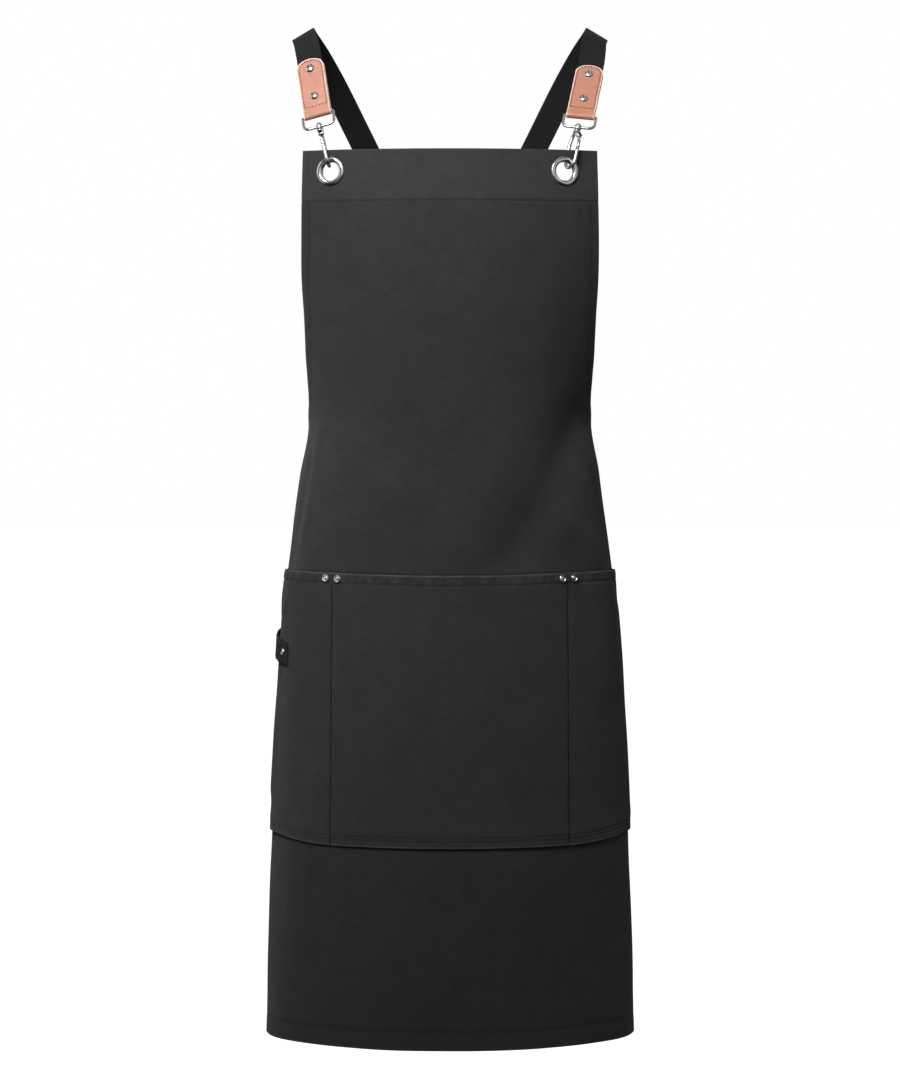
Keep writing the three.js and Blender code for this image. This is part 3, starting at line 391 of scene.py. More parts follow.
def laid_grid(name, columns, rows, place):
    """A grid that place(columns, rows) lays out, with its flat positions as UV map and its painted shade and
    light, if given, as tone.
    """
    deselect()
    bpy.ops.mesh.primitive_grid_add(x_subdivisions=len(columns) - 1, y_subdivisions=len(rows) - 1, size=1)
    piece = named(name)
    flat = shape_points(piece)
    i = np.rint((flat[:, 0] + 0.5) * (len(columns) - 1)).astype(int)
    j = np.rint((0.5 - flat[:, 1]) * (len(rows) - 1)).astype(int)
    points, across, down, *tone = place(np.asarray(columns)[i], np.asarray(rows)[j])
    move_points(piece, points)
    if tone:
        tones = piece.data.attributes.new("tone", "FLOAT", "POINT")
        tones.data.foreach_set("value", tone[0].astype(np.float32))
    corners = np.empty(len(piece.data.loops), int)
    piece.data.loops.foreach_get("vertex_index", corners)
    layer = piece.data.uv_layers.active
    layer.name = "cut"
    layer.data.foreach_set("uv", np.stack([across[corners], -down[corners]], axis=1).ravel())
    return piece


def flat_positions(piece):
    """How far across and down its flat cut each point of a laid grid lies."""
    corners = np.empty(len(piece.data.loops), int)
    piece.data.loops.foreach_get("vertex_index", corners)
    spots = np.empty(len(corners) * 2)
    piece.data.uv_layers["cut"].data.foreach_get("uv", spots)
    flat = np.zeros((len(piece.data.vertices), 2))
    flat[corners] = spots.reshape(-1, 2)
    return flat[:, 0], -flat[:, 1]


def modify(piece, kind, **settings):
    """Adds a modifier with its settings and applies it."""
    select_only(piece)
    modifier = piece.modifiers.new(kind.title(), kind)
    for setting, value in settings.items():
        setattr(modifier, setting, value)
    bpy.ops.object.modifier_apply(modifier=modifier.name)
    return piece


def thicken(piece, wall, walls=None, inward=True):
    """Gives a sheet its wall: one thickness, or one for each of its points up to wall."""
    offset = -1 if inward else 0
    settings = dict(thickness=wall, offset=offset, use_even_offset=False, use_quality_normals=True)
    if walls is not None:
        low = float(walls.min())
        group = piece.vertex_groups.new(name="wall")
        for k, value in enumerate((walls - low) / (wall - low)):
            group.add([k], float(value), "REPLACE")
        settings.update(vertex_group="wall", thickness_vertex_group=low / wall)
    modify(piece, "SOLIDIFY", **settings)
    piece.vertex_groups.clear()
    return piece


def smooth(piece, angle=40):
    select_only(piece)
    bpy.ops.object.shade_smooth_by_angle(angle=angle * DEGREE)
    return piece


def place(piece, matrix):
    """Puts a shape made about the origin in its place, in its mesh."""
    piece.data.transform(matrix)
    piece.data.update()
    return piece


def outward(piece):
    """Merges doubled points and turns all faces outwards."""
    select_only(piece)
    bpy.ops.object.mode_set(mode="EDIT")
    bpy.ops.mesh.select_all(action="SELECT")
    bpy.ops.mesh.remove_doubles(threshold=1e-6)
    bpy.ops.mesh.normals_make_consistent(inside=False)
    bpy.ops.object.mode_set(mode="OBJECT")
    return piece


def turned(name, profile, sides=48, closed=False):
    """A shape turned about +Z: a circle is extruded from each (radius, height) of its profile to the next."""
    deselect()
    radius, height = profile[0]
    fill = "NOTHING" if closed else "NGON"
    bpy.ops.mesh.primitive_circle_add(vertices=sides, radius=radius, fill_type=fill, location=(0, 0, height))
    piece = named(name)
    bpy.ops.object.transform_apply(location=True, rotation=False, scale=False)
    bpy.ops.object.mode_set(mode="EDIT")
    bpy.ops.mesh.select_all(action="SELECT")
    for (before, low), (after, high) in zip(profile[:-1], profile[1:]):
        grow = after / before
        if closed:
            bpy.ops.mesh.extrude_edges_move(TRANSFORM_OT_translate={"value": (0, 0, high - low)})
        else:
            bpy.ops.mesh.extrude_region_move(TRANSFORM_OT_translate={"value": (0, 0, high - low)})
        bpy.ops.transform.resize(value=(grow, grow, 1), center_override=(0, 0, high))
    bpy.ops.object.mode_set(mode="OBJECT")
    return outward(piece)


def wired(name, points, radius, radii=None, closed=False, roundness=5):
    """A round wire along a line of points, as a bevelled curve made a mesh."""
    deselect()
    bpy.ops.curve.primitive_nurbs_path_add()
    piece = named(name)
    curve = piece.data
    curve.splines.clear()
    line = curve.splines.new("POLY")
    line.points.add(len(points) - 1)
    line.use_cyclic_u = closed
    for k, point in enumerate(points):
        line.points[k].co = (*point, 1)
        line.points[k].radius = 1 if radii is None else radii[k]
    curve.dimensions = "3D"
    curve.twist_mode = "MINIMUM"
    curve.bevel_depth = radius
    curve.bevel_resolution = roundness
    curve.use_fill_caps = not closed
    bpy.ops.object.convert(target="MESH")
    return outward(named(name))


def joined(first, *others):
    deselect()
    for piece in (first, *others):
        piece.select_set(True)
    bpy.context.view_layer.objects.active = first
    bpy.ops.object.join()
    return first


def copied(piece, name):
    select_only(piece)
    bpy.ops.object.duplicate(linked=False)
    return named(name)


def finished(piece, body, slot, material, *nodes):
    """Gives a piece its material, the body that it rides on and the nodes that it stands for."""
    piece.data.materials.clear()
    piece.data.materials.append(material)
    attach(piece, body)
    if nodes:
        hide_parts(*nodes)
    return piece


def basis(origin, x, y, z):
    rows = [[x[k], y[k], z[k], origin[k]] for k in range(3)]
    return Matrix(rows + [[0, 0, 0, 1]])


def frame_along(origin, along, sideways):
    """The matrix that stands +Z along a direction, with +X near a second one."""
    z = Vector(along).normalized()
    x = Vector(sideways)
    x = (x - z * x.dot(z)).normalized()
    return basis(Vector(origin), x, z.cross(x), z)


def tip_of(node, direction):
    """The point of a frame node that lies furthest along a direction."""
    return max((v.co for v in frame["nodes"][node].data.vertices), key=lambda co: co.dot(direction)).copy()


def middle_of(node):
    """The middle of a frame node's points, which lies on the axis of a turned one."""
    points = [v.co for v in frame["nodes"][node].data.vertices]
    return sum(points, Vector()) / len(points)


# Stitches: one thread shape, copied along lines

def stitch_shape():
    deselect()
    bpy.ops.mesh.primitive_uv_sphere_add(segments=6, ring_count=4, radius=1)
    shape = named("stitch")
    points = shape_points(shape)
    faces = [list(face.vertices) for face in shape.data.polygons]
    bpy.data.objects.remove(shape)
    # Long along x, low along z
    return points[:, [2, 1, 0]] * np.array([1, 1, -1]), faces


STITCH_POINTS, STITCH_FACES = stitch_shape()
RUN_STEP = 0.004
THREAD_STAND = 0.00004


def stitched(name, runs, length=0.0023, spacing=0.0031, width=0.00032, rise=0.0002):
    """Stitches along runs of (points, normals), each a line of positions close together."""
    vertices, faces = [], []
    for points, normals in runs:
        along = line_lengths(points)
        count = max(int(along[-1] / spacing), 1)
        for k in range(count):
            middle = (k + 0.5) * along[-1] / count
            ends = [np.array([np.interp(middle + side * length / 2, along, points[:, c]) for c in range(3)])
                    for side in (-1, 1)]
            up = np.array([np.interp(middle, along, normals[:, c]) for c in range(3)])
            x = ends[1] - ends[0]
            x /= np.linalg.norm(x)
            up = up - x * (up @ x)
            up /= np.linalg.norm(up)
            turn = np.stack([x * length / 2, np.cross(up, x) * width, up * rise], axis=0)
            first = len(vertices) * len(STITCH_POINTS)
            faces += [[corner + first for corner in face] for face in STITCH_FACES]
            vertices.append(STITCH_POINTS @ turn + (ends[0] + ends[1]) / 2)
    deselect()
    mesh = bpy.data.meshes.new(name)
    mesh.from_pydata(np.concatenate(vertices).tolist(), [], faces)
    piece = bpy.data.objects.new(name, mesh)
    bpy.context.scene.collection.objects.link(piece)
    for face in mesh.polygons:
        face.use_smooth = True
    return piece


def cloth_run(line, height=0.0):
    """A run of stitches on the worn cloth along a line of (s, drop)."""
    line = np.asarray(line, float)
    lengths = line_lengths(line)
    count = max(int(lengths[-1] / RUN_STEP), 2)
    at = np.linspace(0, lengths[-1], count)
    s, drop = np.interp(at, lengths, line[:, 0]), np.interp(at, lengths, line[:, 1])
    return cloth_point(s, drop, np.full(count, height)), cloth_normal(s, drop)


# Materials

def new_material(name, roughness, metallic=0.0, **constants):
    material = bpy.data.materials.new(name)
    material.use_nodes = True
    shader = material.node_tree.nodes["Principled BSDF"]
    shader.inputs["Roughness"].default_value = roughness
    shader.inputs["Metallic"].default_value = metallic
    for socket, value in constants.items():
        shader.inputs[socket.replace("_", " ")].default_value = value
    return material, material.node_tree, shader


def node(tree, kind, inputs=None, **settings):
    made = tree.nodes.new(kind)
    for setting, value in settings.items():
        setattr(made, setting, value)
    for socket, value in (inputs or {}).items():
        if isinstance(value, bpy.types.NodeSocket):
            tree.links.new(value, made.inputs[socket])
        else:
            made.inputs[socket].default_value = value
    return made


def math_node(tree, operation, first, second=None, third=None):
    inputs = {0: first}
    if second is not None:
        inputs[1] = second
    if third is not None:
        inputs[2] = third
    return node(tree, "ShaderNodeMath", inputs, operation=operation).outputs[0]


def mixed(tree, share, first, second):
    made = node(tree, "ShaderNodeMix", {0: share, 6: first, 7: second}, data_type="RGBA")
    return made.outputs[2]


def noise(tree, where, scale, detail=3.0, roughness=0.5, distortion=0.0):
    inputs = {"Vector": where, "Scale": scale, "Detail": detail, "Roughness": roughness,
              "Distortion": distortion}
    return node(tree, "ShaderNodeTexNoise", inputs).outputs["Fac"]


def stretched(tree, where, scale):
    """Positions drawn out by a scale for each axis, for slubs and scratches."""
    return node(tree, "ShaderNodeMapping", {"Vector": where, "Scale": scale}).outputs[0]


def scaled(tree, colour, share):
    return node(tree, "ShaderNodeVectorMath", {0: colour, "Scale": share}, operation="SCALE").outputs[0]


def ramp(tree, value, low, high, to_low=0.0, to_high=1.0):
    inputs = {"Value": value, "From Min": low, "From Max": high, "To Min": to_low, "To Max": to_high}
    return node(tree, "ShaderNodeMapRange", inputs).outputs["Result"]


# The weaves' thread spacings, how dark the painted shade may make the cloth, and the finishes' colours
CANVAS_THREAD = 0.00062
WEBBING_THREAD = 0.0012
DARKEST_PAINTED_SHADE = 0.12
LINT_GREY = (0.45, 0.44, 0.42)
TAN = (0.530, 0.226, 0.148)
TAN_LIGHT = (0.620, 0.288, 0.194)
TAN_PORES = (0.42, 0.160, 0.090)
TAN_RIM = (0.92, 0.70, 0.57)
NICKEL = (0.60, 0.59, 0.575)
NICKEL_TARNISH = (0.42, 0.41, 0.395)


def cloth_material(name, dark, light, thread=CANVAS_THREAD, lint=0.03, ribs=False):
    """Twill canvas, or ribbed webbing, woven along the piece's flat cut."""
    material, tree, shader = new_material(name, 0.9, Sheen_Weight=0.03 if ribs else 0.10,
                                          Sheen_Roughness=0.6, Specular_IOR_Level=0.07 if ribs else 0.14)
    where = node(tree, "ShaderNodeUVMap", uv_map="cut").outputs["UV"]
    axes = node(tree, "ShaderNodeSeparateXYZ", {"Vector": where})
    # The weave: slanting twill lines, or the ribs' zigzag, and the fine threads across
    turns = 2 * math.pi / thread
    across = math_node(tree, "MULTIPLY", axes.outputs["X"], turns)
    down = math_node(tree, "MULTIPLY", axes.outputs["Y"], turns * (0.55 if ribs else 0.5))
    if ribs:
        zig = math_node(tree, "PINGPONG", axes.outputs["X"], 0.0031)
        slant = math_node(tree, "ADD", down, math_node(tree, "MULTIPLY", zig, turns * 0.9))
        weave = math_node(tree, "SINE", slant)
        fine = math_node(tree, "SINE", across)
    else:
        weave = math_node(tree, "SINE", math_node(tree, "ADD", across, down))
        close = math_node(tree, "MULTIPLY", across, 1.9)
        fine = math_node(tree, "SINE", math_node(tree, "SUBTRACT", close, down))
    weave = ramp(tree, weave, -1.0, 1.0)
    fine = ramp(tree, fine, -1.0, 1.0)
    # Worn patches, broad patches and slubs give the cloth its uneven tone
    worn = noise(tree, where, scale=46.0, detail=5.0, roughness=0.62, distortion=0.4)
    broad = noise(tree, where, scale=9.0, distortion=0.2)
    slub = noise(tree, stretched(tree, where, (90, 800, 1)), scale=1.0)
    tone = math_node(tree, "MULTIPLY_ADD", ramp(tree, worn, 0.25, 0.75), 0.24, 0.13)
    tone = math_node(tree, "MULTIPLY_ADD", ramp(tree, broad, 0.3, 0.7), 0.16, tone)
    tone = math_node(tree, "MULTIPLY_ADD", ramp(tree, slub, 0.3, 0.7), 0.34, tone)
    colour = mixed(tree, tone, (*dark, 1), (*light, 1))
    # The threads' own shadows, the painted shade and light that the tone attribute carries, and the lint
    shadow = math_node(tree, "MULTIPLY_ADD", weave, 0.32, 0.78)
    shadow = math_node(tree, "MULTIPLY", shadow, ramp(tree, fine, 0.0, 1.0, 0.9, 1.06))
    colour = scaled(tree, colour, shadow)
    tone = node(tree, "ShaderNodeAttribute", attribute_name="tone").outputs["Fac"]
    tone = math_node(tree, "MAXIMUM", math_node(tree, "ADD", tone, 1.0), DARKEST_PAINTED_SHADE)
    colour = scaled(tree, colour, tone)
    specks = ramp(tree, noise(tree, where, scale=900.0, detail=1.0, roughness=0.4), 0.74, 0.80)
    colour = mixed(tree, math_node(tree, "MULTIPLY", specks, lint), colour, (*LINT_GREY, 1))
    tree.links.new(colour, shader.inputs["Base Color"])
    tree.links.new(ramp(tree, worn, 0.3, 0.7, 0.94, 0.84), shader.inputs["Roughness"])
    height = math_node(tree, "MULTIPLY_ADD", fine, 0.3, weave)
    height = math_node(tree, "MULTIPLY_ADD", slub, 0.5, height)
    bump = node(tree, "ShaderNodeBump", {"Height": height, "Strength": 0.55, "Distance": 0.00012})
    broad_bump = node(tree, "ShaderNodeBump", {
        "Height": noise(tree, where, scale=140.0, detail=4.0, roughness=0.6),
        "Strength": 0.35, "Distance": 0.0006, "Normal": bump.outputs["Normal"],
    })
    tree.links.new(broad_bump.outputs["Normal"], shader.inputs["Normal"])
    return material


def leather_material():
    material, tree, shader = new_material("tanned_leather", 0.5, Specular_IOR_Level=0.5,
                                          Coat_Weight=0.2, Coat_Roughness=0.32)
    where = node(tree, "ShaderNodeTexCoord").outputs["Object"]
    rim = node(tree, "ShaderNodeAttribute", attribute_name="rim").outputs["Fac"]
    cloudy = noise(tree, where, scale=70.0, detail=4.0, roughness=0.6, distortion=0.5)
    fine = noise(tree, where, scale=900.0, roughness=0.6)
    colour = mixed(tree, ramp(tree, cloudy, 0.3, 0.7), (*TAN, 1), (*TAN_LIGHT, 1))
    colour = mixed(tree, ramp(tree, fine, 0.35, 0.75, 0.0, 0.28), colour, (*TAN_PORES, 1))
    colour = mixed(tree, rim, colour, (*TAN_RIM, 1))
    tree.links.new(colour, shader.inputs["Base Color"])
    tree.links.new(ramp(tree, fine, 0.2, 0.8, 0.42, 0.62), shader.inputs["Roughness"])
    pores = node(tree, "ShaderNodeTexVoronoi", {"Vector": where, "Scale": 1500.0}).outputs["Distance"]
    height = math_node(tree, "MULTIPLY_ADD", pores, 0.5, fine)
    bump = node(tree, "ShaderNodeBump", {"Height": height, "Strength": 0.45, "Distance": 0.00025})
    tree.links.new(bump.outputs["Normal"], shader.inputs["Normal"])
    return material


def nickel_material():
    material, tree, shader = new_material("polished_nickel", 0.16, 1.0)
    where = node(tree, "ShaderNodeTexCoord").outputs["Object"]
    tarnish = noise(tree, where, scale=160.0, detail=4.0, roughness=0.6, distortion=0.3)
    colour = mixed(tree, ramp(tree, tarnish, 0.35, 0.7), (*NICKEL, 1), (*NICKEL_TARNISH, 1))
    tree.links.new(colour, shader.inputs["Base Color"])
    tree.links.new(ramp(tree, tarnish, 0.3, 0.75, 0.10, 0.24), shader.inputs["Roughness"])
    scratches = noise(tree, stretched(tree, where, (300, 2400, 900)), scale=1.0)
    bump = node(tree, "ShaderNodeBump", {"Height": scratches, "Strength": 0.08, "Distance": 0.0001})
    tree.links.new(bump.outputs["Normal"], shader.inputs["Normal"])
    return material


def thread_material(name, colour):
    material, tree, shader = new_material(name, 0.7, Sheen_Weight=0.2, Specular_IOR_Level=0.3)
    where = node(tree, "ShaderNodeTexCoord").outputs["Object"]
    fibre = noise(tree, where, scale=2500.0, detail=2.0, roughness=0.6)
    darker = tuple(0.6 * value for value in colour)
    tree.links.new(mixed(tree, fibre, (*darker, 1), (*colour, 1)), shader.inputs["Base Color"])
    bump = node(tree, "ShaderNodeBump", {"Height": fibre, "Strength": 0.4, "Distance": 0.0001})
    tree.links.new(bump.outputs["Normal"], shader.inputs["Normal"])
    return material


canvas = cloth_material("black_canvas", (0.022, 0.022, 0.023), (0.050, 0.050, 0.051))
pocket_canvas = cloth_material("pocket_canvas", (0.026, 0.0235, 0.0235), (0.056, 0.0505, 0.050))
webbing = cloth_material("black_webbing", (0.0124, 0.0124, 0.0129), (0.0268, 0.0268, 0.0277),
                         thread=WEBBING_THREAD, lint=0.01, ribs=True)
loop_webbing = cloth_material("loop_webbing", (0.019, 0.019, 0.0195), (0.042, 0.042, 0.043),
                              thread=WEBBING_THREAD, lint=0.01, ribs=True)
leather = leather_material()
nickel = nickel_material()
black_thread = thread_material("black_thread", (0.020, 0.020, 0.021))
brown_thread = thread_material("brown_thread", (0.085, 0.032, 0.020))


# Camera, floor and light

CAMERA_PLACE = (0, -3.52, -0.397)
CAMERA_PITCH = -1.644
CAMERA_LENS = 118.67
FLOOR_HEIGHT = -1.5
FLOOR_RADIUS = 40

bpy.ops.object.camera_add(location=CAMERA_PLACE, rotation=((90 + CAMERA_PITCH) * DEGREE, 0, 0))
camera = bpy.context.object
camera.data.lens = CAMERA_LENS
camera.data.sensor_width = 36
bpy.context.scene.camera = camera
bpy.context.scene.view_settings.view_transform = "Standard"
bpy.context.scene.view_settings.look = "None"

deselect()
bpy.ops.mesh.primitive_circle_add(vertices=96, radius=FLOOR_RADIUS, fill_type="NGON",
                                  location=(0, 0, FLOOR_HEIGHT))
floor = named("floor")
floor_material, _, floor_shader = new_material("pale_floor", 0.9)
floor_shader.inputs["Base Color"].default_value = (0.93, 0.93, 0.93, 1)
floor_shader.inputs["Emission Color"].default_value = (1, 1, 1, 1)
floor_shader.inputs["Emission Strength"].default_value = 0.9
floor.data.materials.append(floor_material)
floor.visible_diffuse = False
floor.visible_glossy = False

world = bpy.data.worlds.new("studio")
bpy.context.scene.world = world
world.use_nodes = True
sky = world.node_tree
background = sky.nodes["Background"]
seen = node(sky, "ShaderNodeLightPath").outputs["Is Camera Ray"]
sphere = node(sky, "ShaderNodeTexCoord").outputs["Generated"]
direction = node(sky, "ShaderNodeSeparateXYZ", {"Vector": sphere})
glow = ramp(sky, direction.outputs["Z"], -0.1, 0.8, 0.02, 0.26)
# The metal sees the studio's pale walls and the dark gaps between them
walls = math_node(sky, "PINGPONG", math_node(sky, "ADD", direction.outputs["X"], 1.2), 0.28)
above_floor = ramp(sky, direction.outputs["Z"], -0.6, 0.1)
walls = math_node(sky, "MULTIPLY", ramp(sky, walls, 0.15, 0.23, 0.03, 0.95), above_floor)
mirrored_rays = node(sky, "ShaderNodeLightPath").outputs["Is Glossy Ray"]
glow = math_node(sky, "MAXIMUM", glow, math_node(sky, "MULTIPLY", walls, mirrored_rays))
strength = math_node(sky, "MAXIMUM", glow, seen)
background.inputs["Color"].default_value = (1, 1, 1, 1)
sky.links.new(strength, background.inputs["Strength"])


def softbox(name, location, aim, size, power, spread=180):
    bpy.ops.object.light_add(type="AREA", location=location)
    light = bpy.context.object
    light.name = name
    light.rotation_euler = (Vector(aim) - Vector(location)).to_track_quat("-Z", "Y").to_euler()
    light.data.shape = "RECTANGLE"
    light.data.size, light.data.size_y = size
    light.data.energy = power
    light.data.spread = spread * DEGREE
    return light


softbox("key_light", (-0.42, -1.05, 0.48), (0.02, -0.1, -0.22), (0.7, 0.5), 6.0, 105)
softbox("front_light", (0.0, -4.6, 0.35), (0, 0, -0.4), (2.6, 1.6), 10.5)
softbox("fill_light", (1.3, -1.7, 0.3), (0, 0, -0.35), (0.6, 1.0), 0.7)
softbox("left_edge_light", (-1.6, 0.1, -0.1), (0, 0, -0.45), (0.5, 1.8), 2)
softbox("right_edge_light", (1.6, 0.35, 0.1), (0, 0, -0.3), (0.4, 1.2), 0.6)
softbox("back_light", (0.3, 2.2, 0.9), (0, 0, -0.45), (1.4, 1.2), 7)


# The bib and skirt

def stops(*runs):
    """Positions from one end to the other, in runs of (start, end, steps) that meet end to start."""
    points = [runs[0][0]]
    for start, end, steps in runs:
        points += [start + (end - start) * k / steps for k in range(1, steps + 1)]
    return points


HEM_COLUMNS = (0.0118, 0.0110, 0.0102, 0.0094, 0.0065, 0.0030, 0.0008, 0.0)
EYELET_WARP = 0.0195
EYELET_CLEAR = 0.0101
LIGHTER_EDGE_WIDTH = 0.0011


def body_columns(inner=76):
    """Columns as (share of the way to the hem, distance inside the cut edge at the hem)."""
    half = [(k / inner, HEM_COLUMNS[0]) for k in range(inner + 1)]
    half += [(1, inset) for inset in HEM_COLUMNS[1:]]
    return half


def pocket_drop(s, share):
    across = np.abs(s)
    sag = np.where(across < DIVIDER, MOUTH_SAG * np.cos(math.pi * across / DIVIDER / 2), 0)
    lift = POCKET_CORNER_LIFT * smooth_step(DIVIDER, POCKET_HALF_WIDTH * 0.62, across)
    top = POCKET_DROP + sag
    return top + (POCKET_DROP + POCKET_HEIGHT - lift - top) * share


def body_painted_shade_and_light(s, drop):
    """Painted shade in the seams' grooves, at the pocket's mouth and over the skirt, painted light on the
    band, and lighter along the cut edges.
    """
    edge = edge_distance(s, drop)
    # Painted shade in the grooves of the band's seam, the side hems' seams and the bottom hem's seam
    seam = 0.55 * bell(drop - BAND_SEAM, 0.0009) * (0.75 + 0.25 * np.sin(s * 900))
    side = 0.35 * bell(edge - SIDE_SEAM, 0.0010) * (drop > BAND_SEAM)
    low = 0.22 * bell(drop - BOTTOM_SEAM, 0.0012)
    # Lighter along the cut edges and the bib's top edge
    lighter_edge = 0.5 * bell(edge, LIGHTER_EDGE_WIDTH) + 0.5 * bell(drop, LIGHTER_EDGE_WIDTH)
    # The pocket's mouth shades the body behind it
    above = pocket_drop(s, 0) - drop
    mouth = 0.6 * bell(above - 0.0004, 0.0012) + 0.5 * (above < 0) * np.exp(above / 0.02)
    mouth = mouth * (np.abs(s) < POCKET_HALF_WIDTH)
    # Painted light: the band is lighter, as where the light from above falls on it
    band = 0.22 * (1 - smooth_step(BAND_SEAM - 0.001, BAND_SEAM + 0.001, drop))
    dark = np.maximum(np.maximum(seam, side * (drop < APRON_LENGTH - BOTTOM_HEM)), low)
    # Painted shade: the skirt is darker below the pocket, as where less light reaches it
    skirt = 0.12 * smooth_step(0.640, 0.700, drop)
    return lighter_edge + band - skirt - np.maximum(dark, mouth)


def make_body():
    half = body_columns()
    count = len(half) - 1
    columns = list(range(-count, count + 1))
    # Finer at the band's seam, where the armholes turn, at the pocket's mouth and at the bottom's seam
    rows = stops((0, 0.004, 3), (0.004, 0.040, 14), (0.040, 0.046, 2), (0.046, 0.0545, 9),
                 (0.0545, 0.236, 42), (0.236, 0.312, 42),
                 (0.312, POCKET_DROP - 0.005, 22), (POCKET_DROP - 0.005, POCKET_DROP + 0.006, 20),
                 (POCKET_DROP + 0.006, BOTTOM_SEAM - 0.006, 90), (BOTTOM_SEAM - 0.006, 0.8445, 7),
                 (0.8445, APRON_LENGTH, 7))
    eyelets = [(arc_at_x(side["sign"] * side["eyelet"], EYELET_DROP), EYELET_DROP) for side in SIDES.values()]

    def lay(column, drop):
        edge = half_width(drop)
        share = np.array([half[abs(int(c))][0] for c in column])
        inset = np.array([half[abs(int(c))][1] for c in column])
        s = np.where(share < 1, share * (edge - HEM_COLUMNS[0]), edge - inset) * np.sign(column)
        # The cloth's lines part round each eyelet's hole
        for centre, level in eyelets:
            reach = np.maximum(np.hypot(s - centre, drop - level), 1e-6)
            parted = EYELET_CLEAR + reach * (1 - EYELET_CLEAR / EYELET_WARP)
            pull = np.where(reach < EYELET_WARP, parted / reach, 1)
            s, drop = centre + (s - centre) * pull, level + (drop - level) * pull
        return cloth_point(s, drop), s, drop, body_painted_shade_and_light(s, drop)

    piece = laid_grid("canvas_bib_and_skirt", columns, rows, lay)
    cut_eyelets(piece, eyelets)
    s, drop = flat_positions(piece)
    hem = np.maximum(edge_distance(s, drop) < SIDE_HEM, drop > APRON_LENGTH - BOTTOM_HEM)
    walls = np.where(drop <= BAND_HEIGHT, BAND_WALL, np.where(hem, HEM_WALL, CLOTH_WALL))
    thicken(piece, BAND_WALL, walls)
    return smooth(piece, 50)


def cut_eyelets(piece, eyelets):
    """Takes out the body's faces inside the two eyelets, given as (s, drop)."""
    layer = piece.data.uv_layers["cut"]
    inside = []
    for face in piece.data.polygons:
        flat = sum((layer.data[corner].uv for corner in face.loop_indices), Vector((0, 0))) / face.loop_total
        spread = min((flat - Vector((centre, -level))).length for centre, level in eyelets)
        inside.append(spread < EYELET_CLEAR)
    select_only(piece)
    bpy.ops.object.mode_set(mode="EDIT")
    bpy.ops.mesh.select_mode(type="FACE")
    bpy.ops.mesh.select_all(action="DESELECT")
    bpy.ops.object.mode_set(mode="OBJECT")
    piece.data.polygons.foreach_set("select", inside)
    bpy.ops.object.mode_set(mode="EDIT")
    bpy.ops.mesh.delete(type="FACE")
    bpy.ops.mesh.select_mode(type="VERT")
    bpy.ops.object.mode_set(mode="OBJECT")


body = make_body()
finished(body, "apron", "canvas", canvas, "apron_body")


# The pocket panel

def mouth_gape(s):
    across = np.abs(s)
    centre = np.cos(math.pi * across / DIVIDER / 2) ** 2 * CENTRE_MOUTH_GAP
    share = np.clip((across - DIVIDER - SEAM_FLAT) / SIDE_MOUTH_SPAN, 0, 1)
    return np.where(across < DIVIDER, centre, np.sin(math.pi * share) ** 2 * SIDE_MOUTH_GAP)


def pocket_stand(share):
    """How far the panel's outer face stands off the seam line: more at its hems."""
    hem = POCKET_HEM / POCKET_HEIGHT
    top = 1 - smooth_step(hem, 3.2 * hem, share)
    low = smooth_step(1 - 2.2 * hem, 1 - hem, share)
    return POCKET_WALL + (POCKET_HEM_WALL - POCKET_WALL) * np.maximum(top, low)


def pocket_height(s, share):
    return POCKET_SEAM_GAP + mouth_gape(s) * (1 - share) ** GAPE_FALL + pocket_stand(share)


def hem_wave(s, down):
    """The slanting puckers of the top hem, from -1 to 1."""
    wave = np.sin(s * 520 + 2.5 * np.sin(s * 67) + down * 260)
    return 0.6 * wave + 0.4 * np.sin(s * 233 - down * 190 + 1.7)


def side_crease(s, down):
    """Two short folds that the cloth makes near the panel's left turn, under its top hem."""
    lean = 0.15 * (down - 0.046)
    first = bell(s + 0.1865 - lean, 0.0022) * ridge_window(down, 0.024, 0.066)
    second = bell(s + 0.1985 - lean, 0.0020) * ridge_window(down, 0.020, 0.053)
    return first + 0.8 * second


def ridge_window(down, start, end):
    """Rises and falls smoothly between two distances."""
    return smooth_step(start - 0.01, start + 0.01, down) * (1 - smooth_step(end - 0.012, end + 0.012, down))


def pocket_relief(s, share):
    """The panel's own puckers: along its top hem, beside the divider seams and over its low hem."""
    down = share * POCKET_HEIGHT
    beside = np.abs(s) - DIVIDER
    calm = smooth_step(0.004, 0.012, np.abs(beside) - 0.004)
    height = POCKET_HEM_PUCKER * hem_wave(s, down) * bell(down - 0.0055, 0.0060) * calm
    height -= POCKET_HEM_GROOVE * bell(down - POCKET_HEM_SEAM, 0.0010)
    low = POCKET_HEIGHT - down
    height -= POCKET_LOW_GROOVE * sum(bell(low - seam, 0.0009) for seam in POCKET_LOW_SEAMS)
    pucker = np.sin(s * 300 + 3 * np.sin(s * 51))
    height += POCKET_LOW_PUCKER * pucker * bell(low - sum(POCKET_LOW_SEAMS) / 2, 0.006)
    pucker = np.sin(down * 260 + 2 * np.sin(down * 47))
    divider = DIVIDER_PUCKER * pucker * bell(beside, 0.0080) - 0.0004 * bell(beside, 0.0040)
    divider -= DIVIDER_GROOVE * bell(beside, 0.0007)
    height += divider * smooth_step(0.008, 0.016, down)
    ends = CLOTH_HALF_WIDTH - np.abs(s)
    height -= HEM_GROOVE * bell(ends - POCKET_END_SEAM, 0.001)
    return height + SIDE_CREASE * side_crease(s, down)


